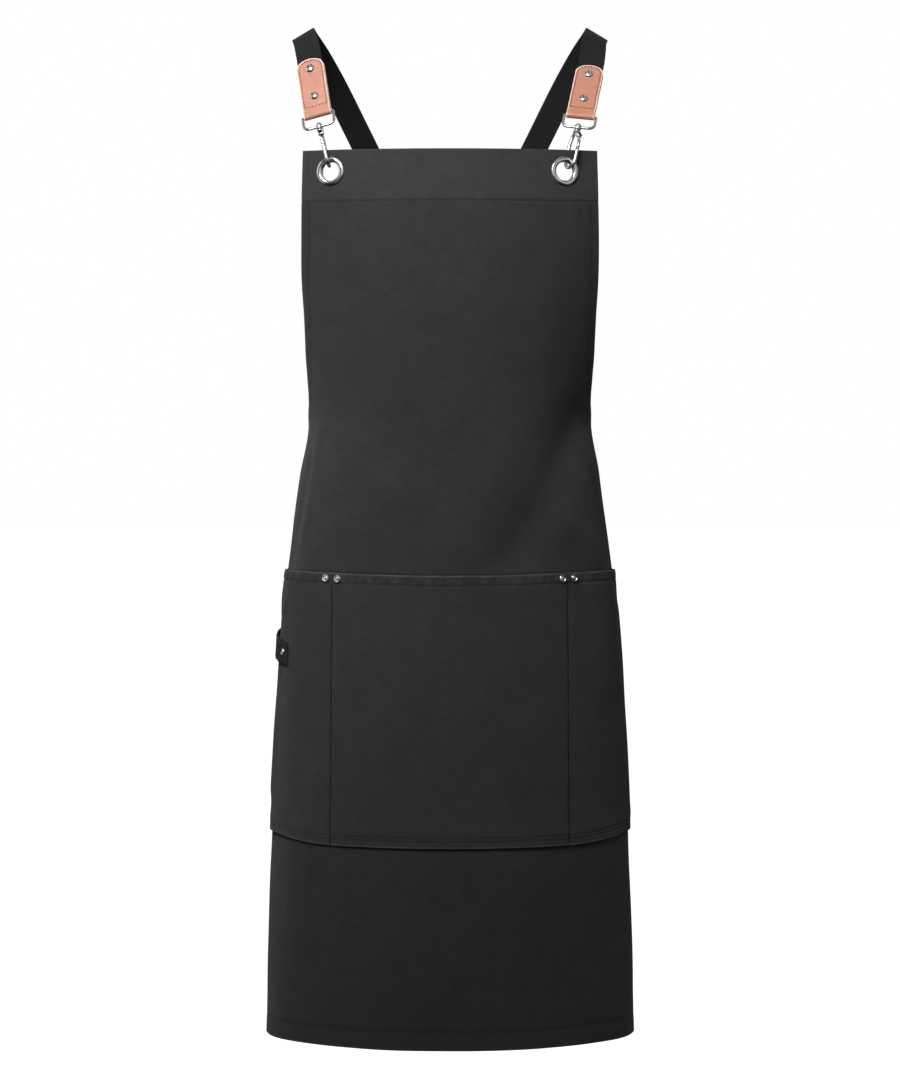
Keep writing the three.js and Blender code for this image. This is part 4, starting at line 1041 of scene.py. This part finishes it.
def pocket_painted_shade_and_light(s, share):
    """Painted shade in the seams' grooves, painted shade and light on the hem's puckers, and painted
    highlights along the mouth's and bottom's rims, partly wear, and on the side creases.
    """
    down = share * POCKET_HEIGHT
    low = POCKET_HEIGHT - down
    # Painted shade in the grooves of the divider seams, the hem's seam, the twin low seams and the end seams
    seam = 0.80 * bell(np.abs(s) - DIVIDER, 0.0007) * smooth_step(0.008, 0.013, down)
    hem = 0.45 * bell(down - POCKET_HEM_SEAM, 0.0008) * (0.6 + 0.4 * np.sin(s * 610))
    twin = 0.35 * sum(bell(low - seam_height, 0.0007) for seam_height in POCKET_LOW_SEAMS)
    ends = 0.4 * bell(CLOTH_HALF_WIDTH - np.abs(s) - POCKET_END_SEAM, 0.001)
    # Painted shade and light that follow the hem's puckers
    pucker = 0.26 * hem_wave(s, down) * bell(down - 0.0060, 0.0050)
    # Painted highlight along the mouth's rim and the bottom's rim, where the turned edges catch the light,
    # partly wear; it is uneven along the rim
    worn = 0.8 + 0.2 * np.sin(s * 170 + 2 * np.sin(s * 43))
    lighter_edge = worn * (2.6 * bell(down, LIGHTER_EDGE_WIDTH) + 1.5 * bell(low, LIGHTER_EDGE_WIDTH))
    # Painted highlight on the ridges of the two side creases
    lighter_edge = lighter_edge + 0.5 * side_crease(s, down)
    return lighter_edge + pucker - np.maximum(np.maximum(seam, hem), np.maximum(twin, ends))


def panel_height_at(s, drop):
    share = (drop - POCKET_DROP) / (pocket_drop(s, 1) - POCKET_DROP)
    return pocket_height(s, share)


DIVIDER_ZONE = 0.0035


def make_pocket():
    hem = POCKET_HEM / POCKET_HEIGHT
    seam = (DIVIDER - DIVIDER_ZONE, DIVIDER + DIVIDER_ZONE)
    # Finer at the ends, at the side crease and at the divider seams
    columns = stops((-POCKET_HALF_WIDTH, -0.340, 6), (-0.340, -0.206, 38), (-0.206, -0.180, 26),
                    (-0.180, -seam[1], 22), (-seam[1], -seam[0], 18), (-seam[0], seam[0], 78),
                    (seam[0], seam[1], 18), (seam[1], 0.340, 72), (0.340, POCKET_HALF_WIDTH, 6))
    rows = stops((0, hem * 0.25, 6), (hem * 0.25, hem * 0.7, 5), (hem * 0.7, hem * 1.0, 8),
                 (hem * 1.0, 1 - hem, 64), (1 - hem, 1 - hem * 0.3, 12), (1 - hem * 0.3, 1, 7))

    def lay(s, share):
        drop = pocket_drop(s, share)
        height = pocket_height(s, share) + pocket_relief(s, share)
        return cloth_point(s, drop, height), s, drop - POCKET_DROP, pocket_painted_shade_and_light(s, share)

    piece = laid_grid("canvas_pocket_panel", columns, rows, lay)
    share = flat_positions(piece)[1] / POCKET_HEIGHT
    walls = np.where((share < hem) | (share > 1 - hem - 0.01), POCKET_HEM_WALL, POCKET_WALL)
    thicken(piece, POCKET_HEM_WALL, walls)
    return smooth(piece, 50)


pocket = make_pocket()
finished(pocket, "apron", "pocket_canvas", pocket_canvas, "pocket_panel")


# The towel loop

def loop_place(t, across):
    """The flat position of a point of the loop: t from its front end, across from its middle."""
    s = -(LOOP_START + t * LOOP_LENGTH)
    return s, POCKET_DROP + LOOP_BELOW_POCKET - LOOP_RISE * t * LOOP_LENGTH + across * LOOP_WIDTH


def loop_point(t, across, height):
    s, drop = loop_place(t, across)
    bulge = LOOP_BULGE * np.sin(math.pi * t) ** 2
    return cloth_point(s, drop, panel_height_at(s, drop) + GAP + bulge + height)


def make_loop():
    def lay(t, across):
        rounded = -0.0004 * (2 * np.abs(across)) ** 6
        points = loop_point(1 - t, across, LOOP_WALL + rounded)
        return points, across * LOOP_WIDTH, t * LOOP_LENGTH

    rows = stops((-0.5, -0.42, 3), (-0.42, 0.42, 10), (0.42, 0.5, 3))
    piece = laid_grid("webbing_towel_loop", stops((0, 1, 44)), rows, lay)
    thicken(piece, LOOP_WALL)
    return smooth(piece, 50)


towel_loop = make_loop()
finished(towel_loop, "apron", "webbing", loop_webbing, "towel_loop")


# How the tab, ring and hook of a side stand

def lay_out(name):
    """The directions and matrices of one side's tab, ring, hub and hook, from the frame's joints."""
    side = SIDES[name]
    sign = side["sign"]
    joints = {joint["name"]: joint for joint in frame["joints"]}
    swivel = Vector(joints["swivel_" + name]["pos_m"])
    hook_up = Vector(joints["swivel_" + name]["axis"]).normalized()
    hinge = Vector(joints["gate_hinge_" + name]["axis"]).normalized()
    up = Vector((sign * math.tan(side["lean"] * DEGREE), math.tan(side["back"] * DEGREE), 1)).normalized()
    # Across the tab: at right angles to up, sloped by the tilt, and towards +X on both sides
    rise = math.tan(side["tilt"] * DEGREE)
    across = Vector((-sign, -(-sign * up.x + rise * up.z) / up.y, rise)).normalized() * -sign
    ring_up = Matrix.Rotation(-side["swing"] * DEGREE, 3, across) @ up
    bar = swivel + ring_up * RING_HEIGHT
    return dict(
        side, name=name, up=up, across=across, bar=bar, swivel=swivel, hook_up=hook_up,
        tab=basis(bar, across, up, across.cross(up)),
        ring=basis(swivel, across, ring_up, across.cross(ring_up)),
        hub=frame_along(swivel, hook_up, across),
        hook=basis(swivel, hinge.cross(hook_up), hinge, hook_up),
    )


# The leather tab's height above the ring's bar, where its round end starts, and the middles of its layers
TAB_TOP = TAB_LENGTH - RING_WIRE_RADIUS - GAP - TAB_WALL
TAB_SHOULDER = TAB_TOP - TAB_TOP_ROUND
FOLD_MIDDLE = RING_WIRE_RADIUS + GAP + TAB_WALL / 2
LAYER_MIDDLE = STRAP_WALL / 2 + GAP + TAB_WALL / 2


# The straps

def catmull_rom(points, shares):
    """Points and directions of a centripetal curve through stations, at shares of them from 0 to 1."""
    points = np.asarray(points, float)
    last = len(points) - 1
    padded = np.vstack([2 * points[0] - points[1], points, 2 * points[-1] - points[-2]])
    at = np.asarray(shares) * last
    k = np.minimum(at.astype(int), last - 1)
    t = (at - k)[:, None]
    p0, p1, p2, p3 = (padded[k + n] for n in range(4))
    spans = ((p0, p1), (p1, p2), (p2, p3))
    d0, d1, d2 = (np.sqrt(np.linalg.norm(b - a, axis=1))[:, None] for a, b in spans)
    # Two stations may hold the same direction
    d1 = np.where(d1 < 1e-4, 1, d1)
    d0, d2 = np.where(d0 < 1e-4, d1, d0), np.where(d2 < 1e-4, d1, d2)
    start = ((p1 - p0) / d0 - (p2 - p0) / (d0 + d1) + (p2 - p1) / d1) * d1
    end = ((p2 - p1) / d1 - (p3 - p1) / (d1 + d2) + (p3 - p2) / d2) * d1
    c2 = -3 * p1 + 3 * p2 - 2 * start - end
    c3 = 2 * p1 - 2 * p2 + start + end
    return p1 + start * t + c2 * t**2 + c3 * t**3, start + 2 * c2 * t + 3 * c3 * t**2


def strap_stations(layout):
    sign = layout["sign"]
    points, turns = [], []
    for share in TAB_STATIONS:
        height = STRAP_START + (TAB_TOP - STRAP_START) * share
        points.append(layout["bar"] + layout["up"] * height)
        turns.append(layout["across"])
    for x, y, z, slope in STRAP_ROUTE:
        point = Vector((sign * x * SHOULDER_HALF_SPACING, y * STRAP_BACK_REACH, z * CROSS_DROP))
        from_cross = (point.z + CROSS_DROP) / CROSS_REACH
        point.y += layout["cross"] * (STRAP_WALL + CROSS_CLEARANCE) / 2 * math.exp(-from_cross**2)
        points.append(point)
        turns.append(Vector((1, 0, -sign * math.tan(slope * DEGREE))).normalized())
    waist = APRON_LENGTH * EDGE[-2, 0]
    inside = -(HEM_WALL + SEAM_CLEARANCE + STRAP_WALL / 2)
    for inset, below in STRAP_END:
        arc = -sign * (CLOTH_HALF_WIDTH - inset * STRAP_WIDTH)
        ends = bare_point(np.array([arc - NORMAL_STEP, arc + NORMAL_STEP]), np.full(2, waist))
        flat = Vector(ends[1] - ends[0]).normalized()
        flat *= math.copysign(1, flat.x)
        flat.z = -sign * math.tan(STRAP_END_SLOPE * DEGREE)
        where = (np.array([arc]), np.array([waist + below * STRAP_END_OVERLAP]))
        point = bare_point(*where) + cloth_normal(*where) * inside
        points.append(Vector(point[0]))
        turns.append(flat.normalized())
    return points, turns


def make_strap(layout):
    points, turns = strap_stations(layout)
    steps = 320
    shares = np.linspace(0, 1, steps + 1)
    centre, along = catmull_rom(points, shares)
    across = catmull_rom(turns, shares)[0]
    along /= np.linalg.norm(along, axis=1, keepdims=True)
    across -= along * (across * along).sum(axis=1, keepdims=True)
    across /= np.linalg.norm(across, axis=1, keepdims=True)
    lengths = line_lengths(centre)

    def lay(side, row):
        k = np.rint(row * steps).astype(int)
        points = centre[k] + across[k] * (side * STRAP_WIDTH)[:, None]
        return points, side * STRAP_WIDTH, lengths[k]

    columns = stops((0.5, 0.46, 2), (0.46, -0.46, 10), (-0.46, -0.5, 2))
    piece = laid_grid("webbing_strap_" + layout["name"], columns, stops((0, 1, steps)), lay)
    # The selvedges are thinner
    flat = np.abs(flat_positions(piece)[0]) / STRAP_WIDTH
    walls = np.where(flat > 0.49, STRAP_WALL * 0.45, np.where(flat > 0.47, STRAP_WALL * 0.85, STRAP_WALL))
    thicken(piece, STRAP_WALL, walls, inward=False)
    return smooth(piece, 50), float(lengths[-1])


# The leather tabs

def tab_line():
    """The leather strip's middle from the front layer's end round the ring's bar to the back layer's end."""
    # Finer over the round end
    heights = stops((TAB_TOP, TAB_SHOULDER, 14), (TAB_SHOULDER, TAB_FOLD_HEIGHT, 34))
    front = [(y, LAYER_MIDDLE) for y in heights]
    ease = []
    for k in range(1, 6):
        t = k / 6
        blend = t * t * (3 - 2 * t)
        ease.append((TAB_FOLD_HEIGHT * (1 - t), LAYER_MIDDLE + (FOLD_MIDDLE - LAYER_MIDDLE) * blend))
    angles = [math.pi * k / 14 for k in range(15)]
    turn = [(-FOLD_MIDDLE * math.sin(a), FOLD_MIDDLE * math.cos(a)) for a in angles]
    back = [(y, -z) for y, z in reversed(front + ease)]
    return np.array(front + ease + turn + back)


def tab_half_width(y):
    # The round end stops just short of its tip, so that its last row has a width
    beyond = np.clip((y - TAB_SHOULDER) / TAB_TOP_ROUND, 0, 0.995)
    return TAB_WIDTH / 2 * np.sqrt(1 - beyond**2)


def make_tab(layout):
    line = tab_line()
    lengths = line_lengths(line)
    rows = list(range(len(line)))

    def lay(side, row):
        k = np.rint(row).astype(int)
        y = line[k, 0]
        x = side * 2 * tab_half_width(y)
        return np.stack([x, y, line[k, 1]], axis=1), x, lengths[k]

    columns = stops((-0.5, -0.44, 3), (-0.44, 0.44, 16), (0.44, 0.5, 3))
    piece = laid_grid("leather_tab_piece_" + layout["name"], columns, rows, lay)
    thicken(piece, TAB_WALL, inward=False)
    modify(piece, "BEVEL", width=0.0004, segments=2, limit_method="ANGLE", angle_limit=50 * DEGREE)
    points = shape_points(piece)
    inset = np.minimum(TAB_WIDTH / 2 - np.abs(points[:, 0]), 1)
    beyond = np.hypot(points[:, 0] / (TAB_WIDTH / 2), (points[:, 1] - TAB_SHOULDER) / TAB_TOP_ROUND)
    inset = np.where(points[:, 1] > TAB_SHOULDER, (1 - beyond) * TAB_TOP_ROUND, inset)
    rim = piece.data.attributes.new("rim", "FLOAT", "POINT")
    rim.data.foreach_set("value", (1 - smooth_step(0.0003, 0.0013, inset)).astype(np.float32))
    place(piece, layout["tab"])
    return smooth(outward(piece), 40)


TAB_STITCH_INSET = 0.0021
TAB_STITCH_LOW = 0.0082


def tab_stitches(layout):
    """Stitches 2 mm inside the tab's edges and across it above the fold, on both layers."""
    half = TAB_WIDTH / 2 - TAB_STITCH_INSET
    low = TAB_STITCH_LOW
    arch = [(half * math.cos(a), TAB_SHOULDER + (TAB_TOP_ROUND - TAB_STITCH_INSET) * math.sin(a))
            for a in [math.pi * k / 24 for k in range(25)]]
    outline = [(half, low)] + arch + [(-half, low)]
    runs = []
    for face in (1, -1):
        height = face * (LAYER_MIDDLE + TAB_WALL / 2 + 0.00005)
        for flat in (outline, [(-half, low), (half, low)]):
            points = np.array([layout["tab"] @ Vector((x, y, height)) for x, y in flat])
            normal = (layout["tab"].to_3x3() @ Vector((0, 0, face))).normalized()
            runs.append((points, np.array([normal] * len(points))))
    return stitched("leather_stitches_" + layout["name"], runs, length=0.0021, width=0.00058, rise=0.00034)


# The rivets: one of each kind, copied

CAP_HEIGHTS = {"cap": 0.0017, "dome": 0.0020}
SHANK_RADIUS = 0.0015
WASHER_END = 0.0039


def rivet_shapes():
    """A cap with a ring pressed in it and a plain dome, on one kind of shank and washer."""
    cap = [(0.0004, 0.0015), (0.0012, 0.00145), (0.0017, 0.00120), (0.0019, 0.00085), (0.0023, 0.00080),
           (0.0026, 0.00120), (0.0030, 0.00155), (0.0034, 0.00150), (0.0038, 0.00105), (0.0040, 0.0003),
           (0.0039, 0.0)]
    dome = [(0.0004, 0.0020), (0.0012, 0.00195), (0.0022, 0.00176), (0.0031, 0.00140), (0.0038, 0.00092),
            (0.0042, 0.00045), (0.00435, 0.00015), (0.0043, 0.0)]
    foot = [(SHANK_RADIUS, 0.0), (SHANK_RADIUS, -0.0030), (0.0034, -0.0030), (0.0035, -0.0034),
            (0.0031, -WASHER_END), (0.0004, -WASHER_END)]
    return {"cap": turned("cap_rivet", cap + foot, 40), "dome": turned("dome_rivet", dome + foot, 40)}


RIVET_KINDS = rivet_shapes()


def node_depth(name, along):
    """How far a node reaches back from its furthest point along a direction."""
    return (tip_of(name, along) - tip_of(name, -along)).dot(along)


def make_rivet(name, kind, along):
    """A copy of a rivet in its node's place, its washer drawn to the back of the node."""
    along = Vector(along).normalized()
    piece = copied(RIVET_KINDS[kind], "nickel_" + name)
    points = shape_points(piece)
    low = points[:, 2] < -0.001
    points[low, 2] += WASHER_END - (node_depth(name, along) - CAP_HEIGHTS[kind])
    move_points(piece, points)
    centre, reach = middle_of(name), tip_of(name, along).dot(along)
    seat = centre + along * (reach - CAP_HEIGHTS[kind] - centre.dot(along))
    place(piece, frame_along(seat, along, (0, 0, 1)))
    smooth(piece, 35)
    return finished(piece, "apron", "nickel", nickel, name)


# The ring, hook, gate and eyelet

def ring_line():
    """The middle of the ring's wire: a rectangle with wide lower and tight upper corners."""
    half = TAB_WIDTH / 2 + RING_SIDE_CLEARANCE + RING_WIRE_RADIUS
    corners = ((half, 0, RING_LOWER_CORNER, -90), (half, RING_HEIGHT, RING_UPPER_CORNER, 0),
               (-half, RING_HEIGHT, RING_UPPER_CORNER, 90), (-half, 0, RING_LOWER_CORNER, 180))
    points = []
    for x, y, radius, start in corners:
        cx = x - math.copysign(radius, x)
        cy = radius if y == 0 else y - radius
        for k in range(9):
            angle = (start + 90 * k / 8) * DEGREE
            points.append((cx + radius * math.cos(angle), cy + radius * math.sin(angle), 0))
    return points


def make_ring(layout):
    loop = place(wired("ring_wire", ring_line(), RING_WIRE_RADIUS, closed=True), layout["ring"])
    half, outer, inner = HUB_HEIGHT / 2, HUB_RADIUS, STEM_RADIUS + GAP
    soft = 0.0005
    lower = [(inner, -half + soft / 2), (inner + soft / 2, -half), (outer - soft, -half),
             (outer - soft * 0.3, -half + soft * 0.3), (outer, -half + soft)]
    profile = lower + [(radius, -height) for radius, height in reversed(lower)] + lower[:1]
    barrel = place(turned("ring_barrel", profile, 40, closed=True), layout["hub"])
    ring = joined(loop, barrel)
    ring.name = "nickel_ring_" + layout["name"]
    smooth(ring, 40)
    return finished(ring, "apron", "nickel", nickel, "ring_" + layout["name"])


HEAD_SEAT = HUB_HEIGHT / 2 + GAP
COLLAR_END = -HEAD_SEAT - COLLAR_HEIGHT
BEND_HEIGHT = -HOOK_LENGTH + HOOK_BEND_RADIUS
NOSE_TOP = BEND_HEIGHT + HOOK_NOSE_LENGTH
GATE_PIVOT = (HOOK_BEND_RADIUS - 0.0019, -HOOK_BASE_LENGTH + 0.0023)
CHEEK_DEPTH = 0.0036
TONGUE_WALL = 0.0014

# Shares of the way along the hook, and the wire's share of its thickness there: thinner in the bend,
# which stays clear of the eyelet, and at the nose
HOOK_SHARES = np.linspace(0, 1, 97)
HOOK_THICKNESS = ((0, 0.95), (0.1, 1), (0.40, 1), (0.5, 0.92), (0.8, 0.92), (0.9, 1), (0.97, 1), (1, 0.86))


def hook_line():
    """The middle of the hook's wire, from its collar down the spine and round the bend to the nose."""
    spine = -HOOK_BEND_RADIUS
    points = [(spine / 4, 0, COLLAR_END + COLLAR_HEIGHT / 5),
              (spine * 0.75, 0, -HOOK_BASE_LENGTH + HOOK_WIRE_RADIUS),
              (spine, 0, -HOOK_BASE_LENGTH - 3 * HOOK_WIRE_RADIUS),
              (spine, 0, (BEND_HEIGHT - HOOK_BASE_LENGTH) / 2)]
    for k in range(9):
        angle = math.pi * (1 + k / 8)
        across, up = HOOK_BEND_RADIUS * math.cos(angle), HOOK_BEND_RADIUS * math.sin(angle)
        points.append((across, 0, BEND_HEIGHT + up))
    points += [(HOOK_BEND_RADIUS, 0, (BEND_HEIGHT + NOSE_TOP) / 2), (HOOK_BEND_RADIUS, 0, NOSE_TOP)]
    return catmull_rom(points, HOOK_SHARES)[0]


def plate(name, outline, y):
    """A flat face in the hook's plane, with its outline as (x, z)."""
    deselect()
    bpy.ops.mesh.primitive_circle_add(vertices=len(outline), radius=0.002, fill_type="NGON")
    piece = named(name)
    move_points(piece, [(x, y, z) for x, z in outline])
    return piece


def hook_swivel():
    """The turned collar under the ring's hub, the stem through it and the head on top."""
    seat, collar = HEAD_SEAT, -HEAD_SEAT - COLLAR_HEIGHT / 2
    profile = [(COLLAR_RADIUS * 0.55, COLLAR_END), (COLLAR_RADIUS * 0.8, COLLAR_END + 0.0001),
               (COLLAR_RADIUS * 0.94, COLLAR_END + 0.0005), (COLLAR_RADIUS, collar),
               (COLLAR_RADIUS * 0.94, -seat - 0.0005), (COLLAR_RADIUS * 0.8, -seat - 0.0001),
               (COLLAR_RADIUS * 0.7, -seat), (STEM_RADIUS, -seat), (STEM_RADIUS, seat),
               (HEAD_RADIUS * 0.94, seat), (HEAD_RADIUS, seat + 0.0003), (HEAD_RADIUS * 0.9, seat + 0.0009),
               (HEAD_RADIUS * 0.6, seat + 0.0013), (HEAD_RADIUS * 0.1, seat + HEAD_HEIGHT)]
    return turned("hook_swivel", profile, 40)


def hook_cheeks():
    """The casting's two cheeks, with the slot for the gate's tongue between them."""
    x, z = GATE_PIVOT
    collar = -HEAD_SEAT - COLLAR_HEIGHT / 2
    neck = COLLAR_RADIUS * 0.77
    margin = 0.0019
    outline = [(-neck, collar), (neck, collar), (x + margin, z + margin / 3),
               (x + margin * 0.9, z - margin * 0.7), (x - margin * 0.75, z - margin * 0.9),
               (-neck, z + margin / 4)]
    slot = TONGUE_WALL + 2 * GAP
    cheeks = []
    for sign in (-1, 1):
        cheek = plate("hook_cheek", outline, sign * CHEEK_DEPTH / 2)
        modify(cheek, "SOLIDIFY", thickness=(CHEEK_DEPTH - slot) / 2, offset=sign)
        modify(cheek, "BEVEL", width=0.0003, segments=3)
        cheeks.append(cheek)
    return cheeks


def hook_pin():
    x, z = GATE_PIVOT
    deselect()
    bpy.ops.mesh.primitive_cylinder_add(vertices=20, radius=0.0006, depth=CHEEK_DEPTH + 0.0003,
                                        location=(x, 0, z), rotation=(math.pi / 2, 0, 0))
    pin = named("hook_pin")
    bpy.ops.object.transform_apply(location=True, rotation=True, scale=True)
    return modify(pin, "BEVEL", width=0.00015, segments=2, limit_method="ANGLE")


def make_hook(layout):
    thickness = np.interp(HOOK_SHARES, *zip(*HOOK_THICKNESS))
    bend = wired("hook_wire", hook_line(), HOOK_WIRE_RADIUS, thickness, roundness=6)
    hook = joined(bend, hook_swivel(), *hook_cheeks(), hook_pin())
    hook.name = "nickel_hook_" + layout["name"]
    place(outward(hook), layout["hook"])
    smooth(hook, 35)
    return finished(hook, "snap_" + layout["name"], "nickel", nickel, "hook_" + layout["name"])


def make_gate(layout):
    x, z = GATE_PIVOT
    low = NOSE_TOP + 2 * GAP
    top = z - HOOK_WIRE_RADIUS * 2
    profile = [(GATE_RADIUS * 0.82, low), (GATE_RADIUS, low + 0.0003), (GATE_RADIUS, top - GATE_RADIUS),
               (GATE_RADIUS * 0.86, top - GATE_RADIUS * 0.45), (GATE_RADIUS * 0.5, top - GATE_RADIUS * 0.1),
               (GATE_RADIUS * 0.1, top)]
    bar = place(turned("gate_bar", profile, 32), Matrix.Translation((HOOK_BEND_RADIUS, 0, 0)))
    eye, half = 0.00126, GATE_RADIUS * 0.6
    angles = [math.pi * k / 12 for k in range(13)]
    outline = [(x - eye * math.cos(a), z + eye * math.sin(a)) for a in angles]
    outline += [(HOOK_BEND_RADIUS + half, top), (HOOK_BEND_RADIUS + half, top - 0.003),
                (HOOK_BEND_RADIUS - half, top - 0.003), (HOOK_BEND_RADIUS - half, top)]
    tongue = plate("gate_tongue", outline, -TONGUE_WALL / 2)
    modify(tongue, "SOLIDIFY", thickness=TONGUE_WALL, offset=-1)
    modify(tongue, "BEVEL", width=0.00015, segments=2, limit_method="ANGLE")
    outward(tongue)
    gate = joined(bar, tongue)
    gate.name = "nickel_gate_" + layout["name"]
    place(gate, layout["hook"])
    smooth(gate, 35)
    return finished(gate, "gate_" + layout["name"], "nickel", nickel, "hook_gate_" + layout["name"])


def make_eyelet(layout):
    hole, rim, wall = EYELET_HOLE_RADIUS, EYELET_RADIUS, EYELET_WALL
    tube = hole + wall
    seat = EYELET_CLEARANCE
    front, back = seat + wall, -BAND_WALL - seat * 2.4 - wall
    crown = front + EYELET_CROWN
    profile = [
        (hole, back + wall), (hole + wall * 0.3, back + wall * 0.3), (tube, back), (rim - 0.0003, back),
        (rim, back + 0.0002), (rim, back + wall), (tube, back + wall), (tube, seat),
        (rim - 0.0002, seat), (rim, seat + 0.0002), (rim - 0.0001, seat + 0.0005),
        (rim - 0.0005, front + 0.0001), (rim - 0.0012, crown - 0.0002), (rim - 0.0020, crown),
        (tube + 0.0012, crown - 0.00005),
        (tube + 0.0004, crown - 0.0003), (hole + 0.0003, front - 0.0002), (hole + 0.00008, front - 0.0007),
        (hole, front - 0.0013), (hole, back + wall),
    ]
    piece = turned("nickel_eyelet_" + layout["name"], profile, 72, closed=True)
    s = arc_at_x(layout["sign"] * layout["eyelet"], EYELET_DROP)
    normal = cloth_facing(s, EYELET_DROP)
    centre = Vector(bare_point(np.array([s]), np.array([EYELET_DROP]))[0])
    # The node's own tip gives how far the flange stands off the faceted cloth
    lift = (tip_of("grommet_" + layout["name"], normal) - centre).dot(normal) - crown
    place(piece, frame_along(centre + normal * lift, normal, (1, 0, 0)))
    smooth(outward(piece), 40)
    return finished(piece, "apron", "nickel", nickel, "grommet_" + layout["name"])


STRAP_LENGTHS = {}
for side_name in SIDES:
    layout = lay_out(side_name)
    strap, STRAP_LENGTHS[side_name] = make_strap(layout)
    finished(strap, "apron", "webbing", webbing, "strap_" + side_name)
    finished(make_tab(layout), "apron", "leather", leather, "leather_tab_" + side_name)
    finished(tab_stitches(layout), "apron", "leather", brown_thread)
    make_ring(layout)
    make_hook(layout)
    make_gate(layout)
    make_eyelet(layout)
    face = layout["tab"].to_3x3() @ Vector((0, 0, 1))
    for level in ("upper", "lower"):
        make_rivet(f"tab_rivet_{side_name}_{level}", "dome", face)

pocket_rivets = [side * DIVIDER + beside * POCKET_RIVET_OFFSET for side in (-1, 1) for beside in (-1, 1)]
for number, s in enumerate(pocket_rivets, 1):
    make_rivet(f"pocket_rivet_{number}", "cap", cloth_facing(s, POCKET_DROP + POCKET_RIVET_DROP))
loop_inset = LOOP_RIVET_INSET / LOOP_LENGTH
make_rivet("loop_rivet_front", "cap", cloth_facing(*loop_place(loop_inset, 0)))
make_rivet("loop_rivet_back", "cap", cloth_facing(*loop_place(1 - loop_inset, 0)))
for shape in RIVET_KINDS.values():
    bpy.data.objects.remove(shape)


# The seams

def side_line(inset, start, stop):
    """A line of flat positions that runs inside the cut's right edge from one drop to another."""
    line = edge_line()[:-1]
    length = line_lengths(line)
    at = np.arange(0, length[-1], 0.002)
    s, drop = np.interp(at, length, line[:, 0]), np.interp(at, length, line[:, 1])
    along = np.stack([np.gradient(s), np.gradient(drop)], axis=1)
    along /= np.linalg.norm(along, axis=1, keepdims=True)
    s, drop = s - along[:, 1] * inset, drop + along[:, 0] * inset
    keep = (drop > start) & (drop < stop) & (edge_distance(s, drop) > inset * 0.97)
    return np.stack([s[keep], drop[keep]], axis=1)


def level_line(half, down, count):
    """A line of flat positions from side to side at one level."""
    return np.stack([np.linspace(-half, half, count), np.full(count, down)], axis=1)


def mirrored(line):
    return [line, line * np.array([-1, 1])]


def body_seams():
    runs = [level_line(float(half_width(BAND_HEIGHT)) - 0.0015, BAND_SEAM, 90)]
    runs += mirrored(side_line(SIDE_SEAM, BAND_HEIGHT - 0.002, APRON_LENGTH - 0.004))
    runs.append(level_line(CLOTH_HALF_WIDTH - 0.002, BOTTOM_SEAM, 160))
    # A box with a cross in it holds each strap's end behind the waist's corner
    waist = APRON_LENGTH * EDGE[-2, 0]
    ends = np.array([(CLOTH_HALF_WIDTH - inset * STRAP_WIDTH, waist + below * STRAP_END_OVERLAP)
                     for inset, below in STRAP_END])
    along = (ends[2] - ends[0]) / np.linalg.norm(ends[2] - ends[0])
    beside = np.array([along[1], -along[0]])
    corners = [ends[1] + along * STRAP_WIDTH * u + beside * STRAP_WIDTH * v
               for u, v in ((-0.34, -0.38), (0.34, -0.38), (0.34, 0.38), (-0.34, 0.38))]
    for start, end in ((0, 1), (1, 2), (2, 3), (3, 0), (0, 2), (1, 3)):
        runs += mirrored(np.array([corners[start], corners[end]]))
    return [cloth_run(run, THREAD_STAND) for run in runs]


finished(stitched("canvas_seams", body_seams()), "apron", "canvas", black_thread)


def pocket_run(line):
    """A run of stitches on the pocket panel along a line of (s, share)."""
    s, share = line[:, 0], line[:, 1]
    drop = pocket_drop(s, share)
    height = pocket_height(s, share) + pocket_relief(s, share) + THREAD_STAND
    return cloth_point(s, drop, height), cloth_normal(s, drop)


def pocket_seams():
    end_seam = CLOTH_HALF_WIDTH - POCKET_END_SEAM
    levels = [POCKET_HEM_SEAM / POCKET_HEIGHT] + [1 - up / POCKET_HEIGHT for up in POCKET_LOW_SEAMS]
    lines = [level_line(end_seam, share, 240) for share in levels]
    down = np.linspace(0.012, 0.988, 90)
    # The divider seams start under the rivets
    for s, first in ((DIVIDER, 0.05), (end_seam, 0.012)):
        lines += [np.stack([np.full(90, sign * s), np.maximum(down, first)], axis=1) for sign in (-1, 1)]
    return [pocket_run(line) for line in lines]


finished(stitched("pocket_seams", pocket_seams()), "apron", "pocket_canvas", black_thread)


def loop_seams():
    runs = []
    for across in (-0.40, 0.40):
        t = np.linspace(0.03, 0.97, 40)
        points = loop_point(t, np.full(40, across), np.full(40, LOOP_WALL + THREAD_STAND / 2))
        runs.append((points, cloth_normal(loop_place(t, 0)[0], np.full(40, POCKET_DROP + LOOP_BELOW_POCKET))))
    return runs


finished(stitched("loop_seams", loop_seams()), "apron", "webbing", black_thread)
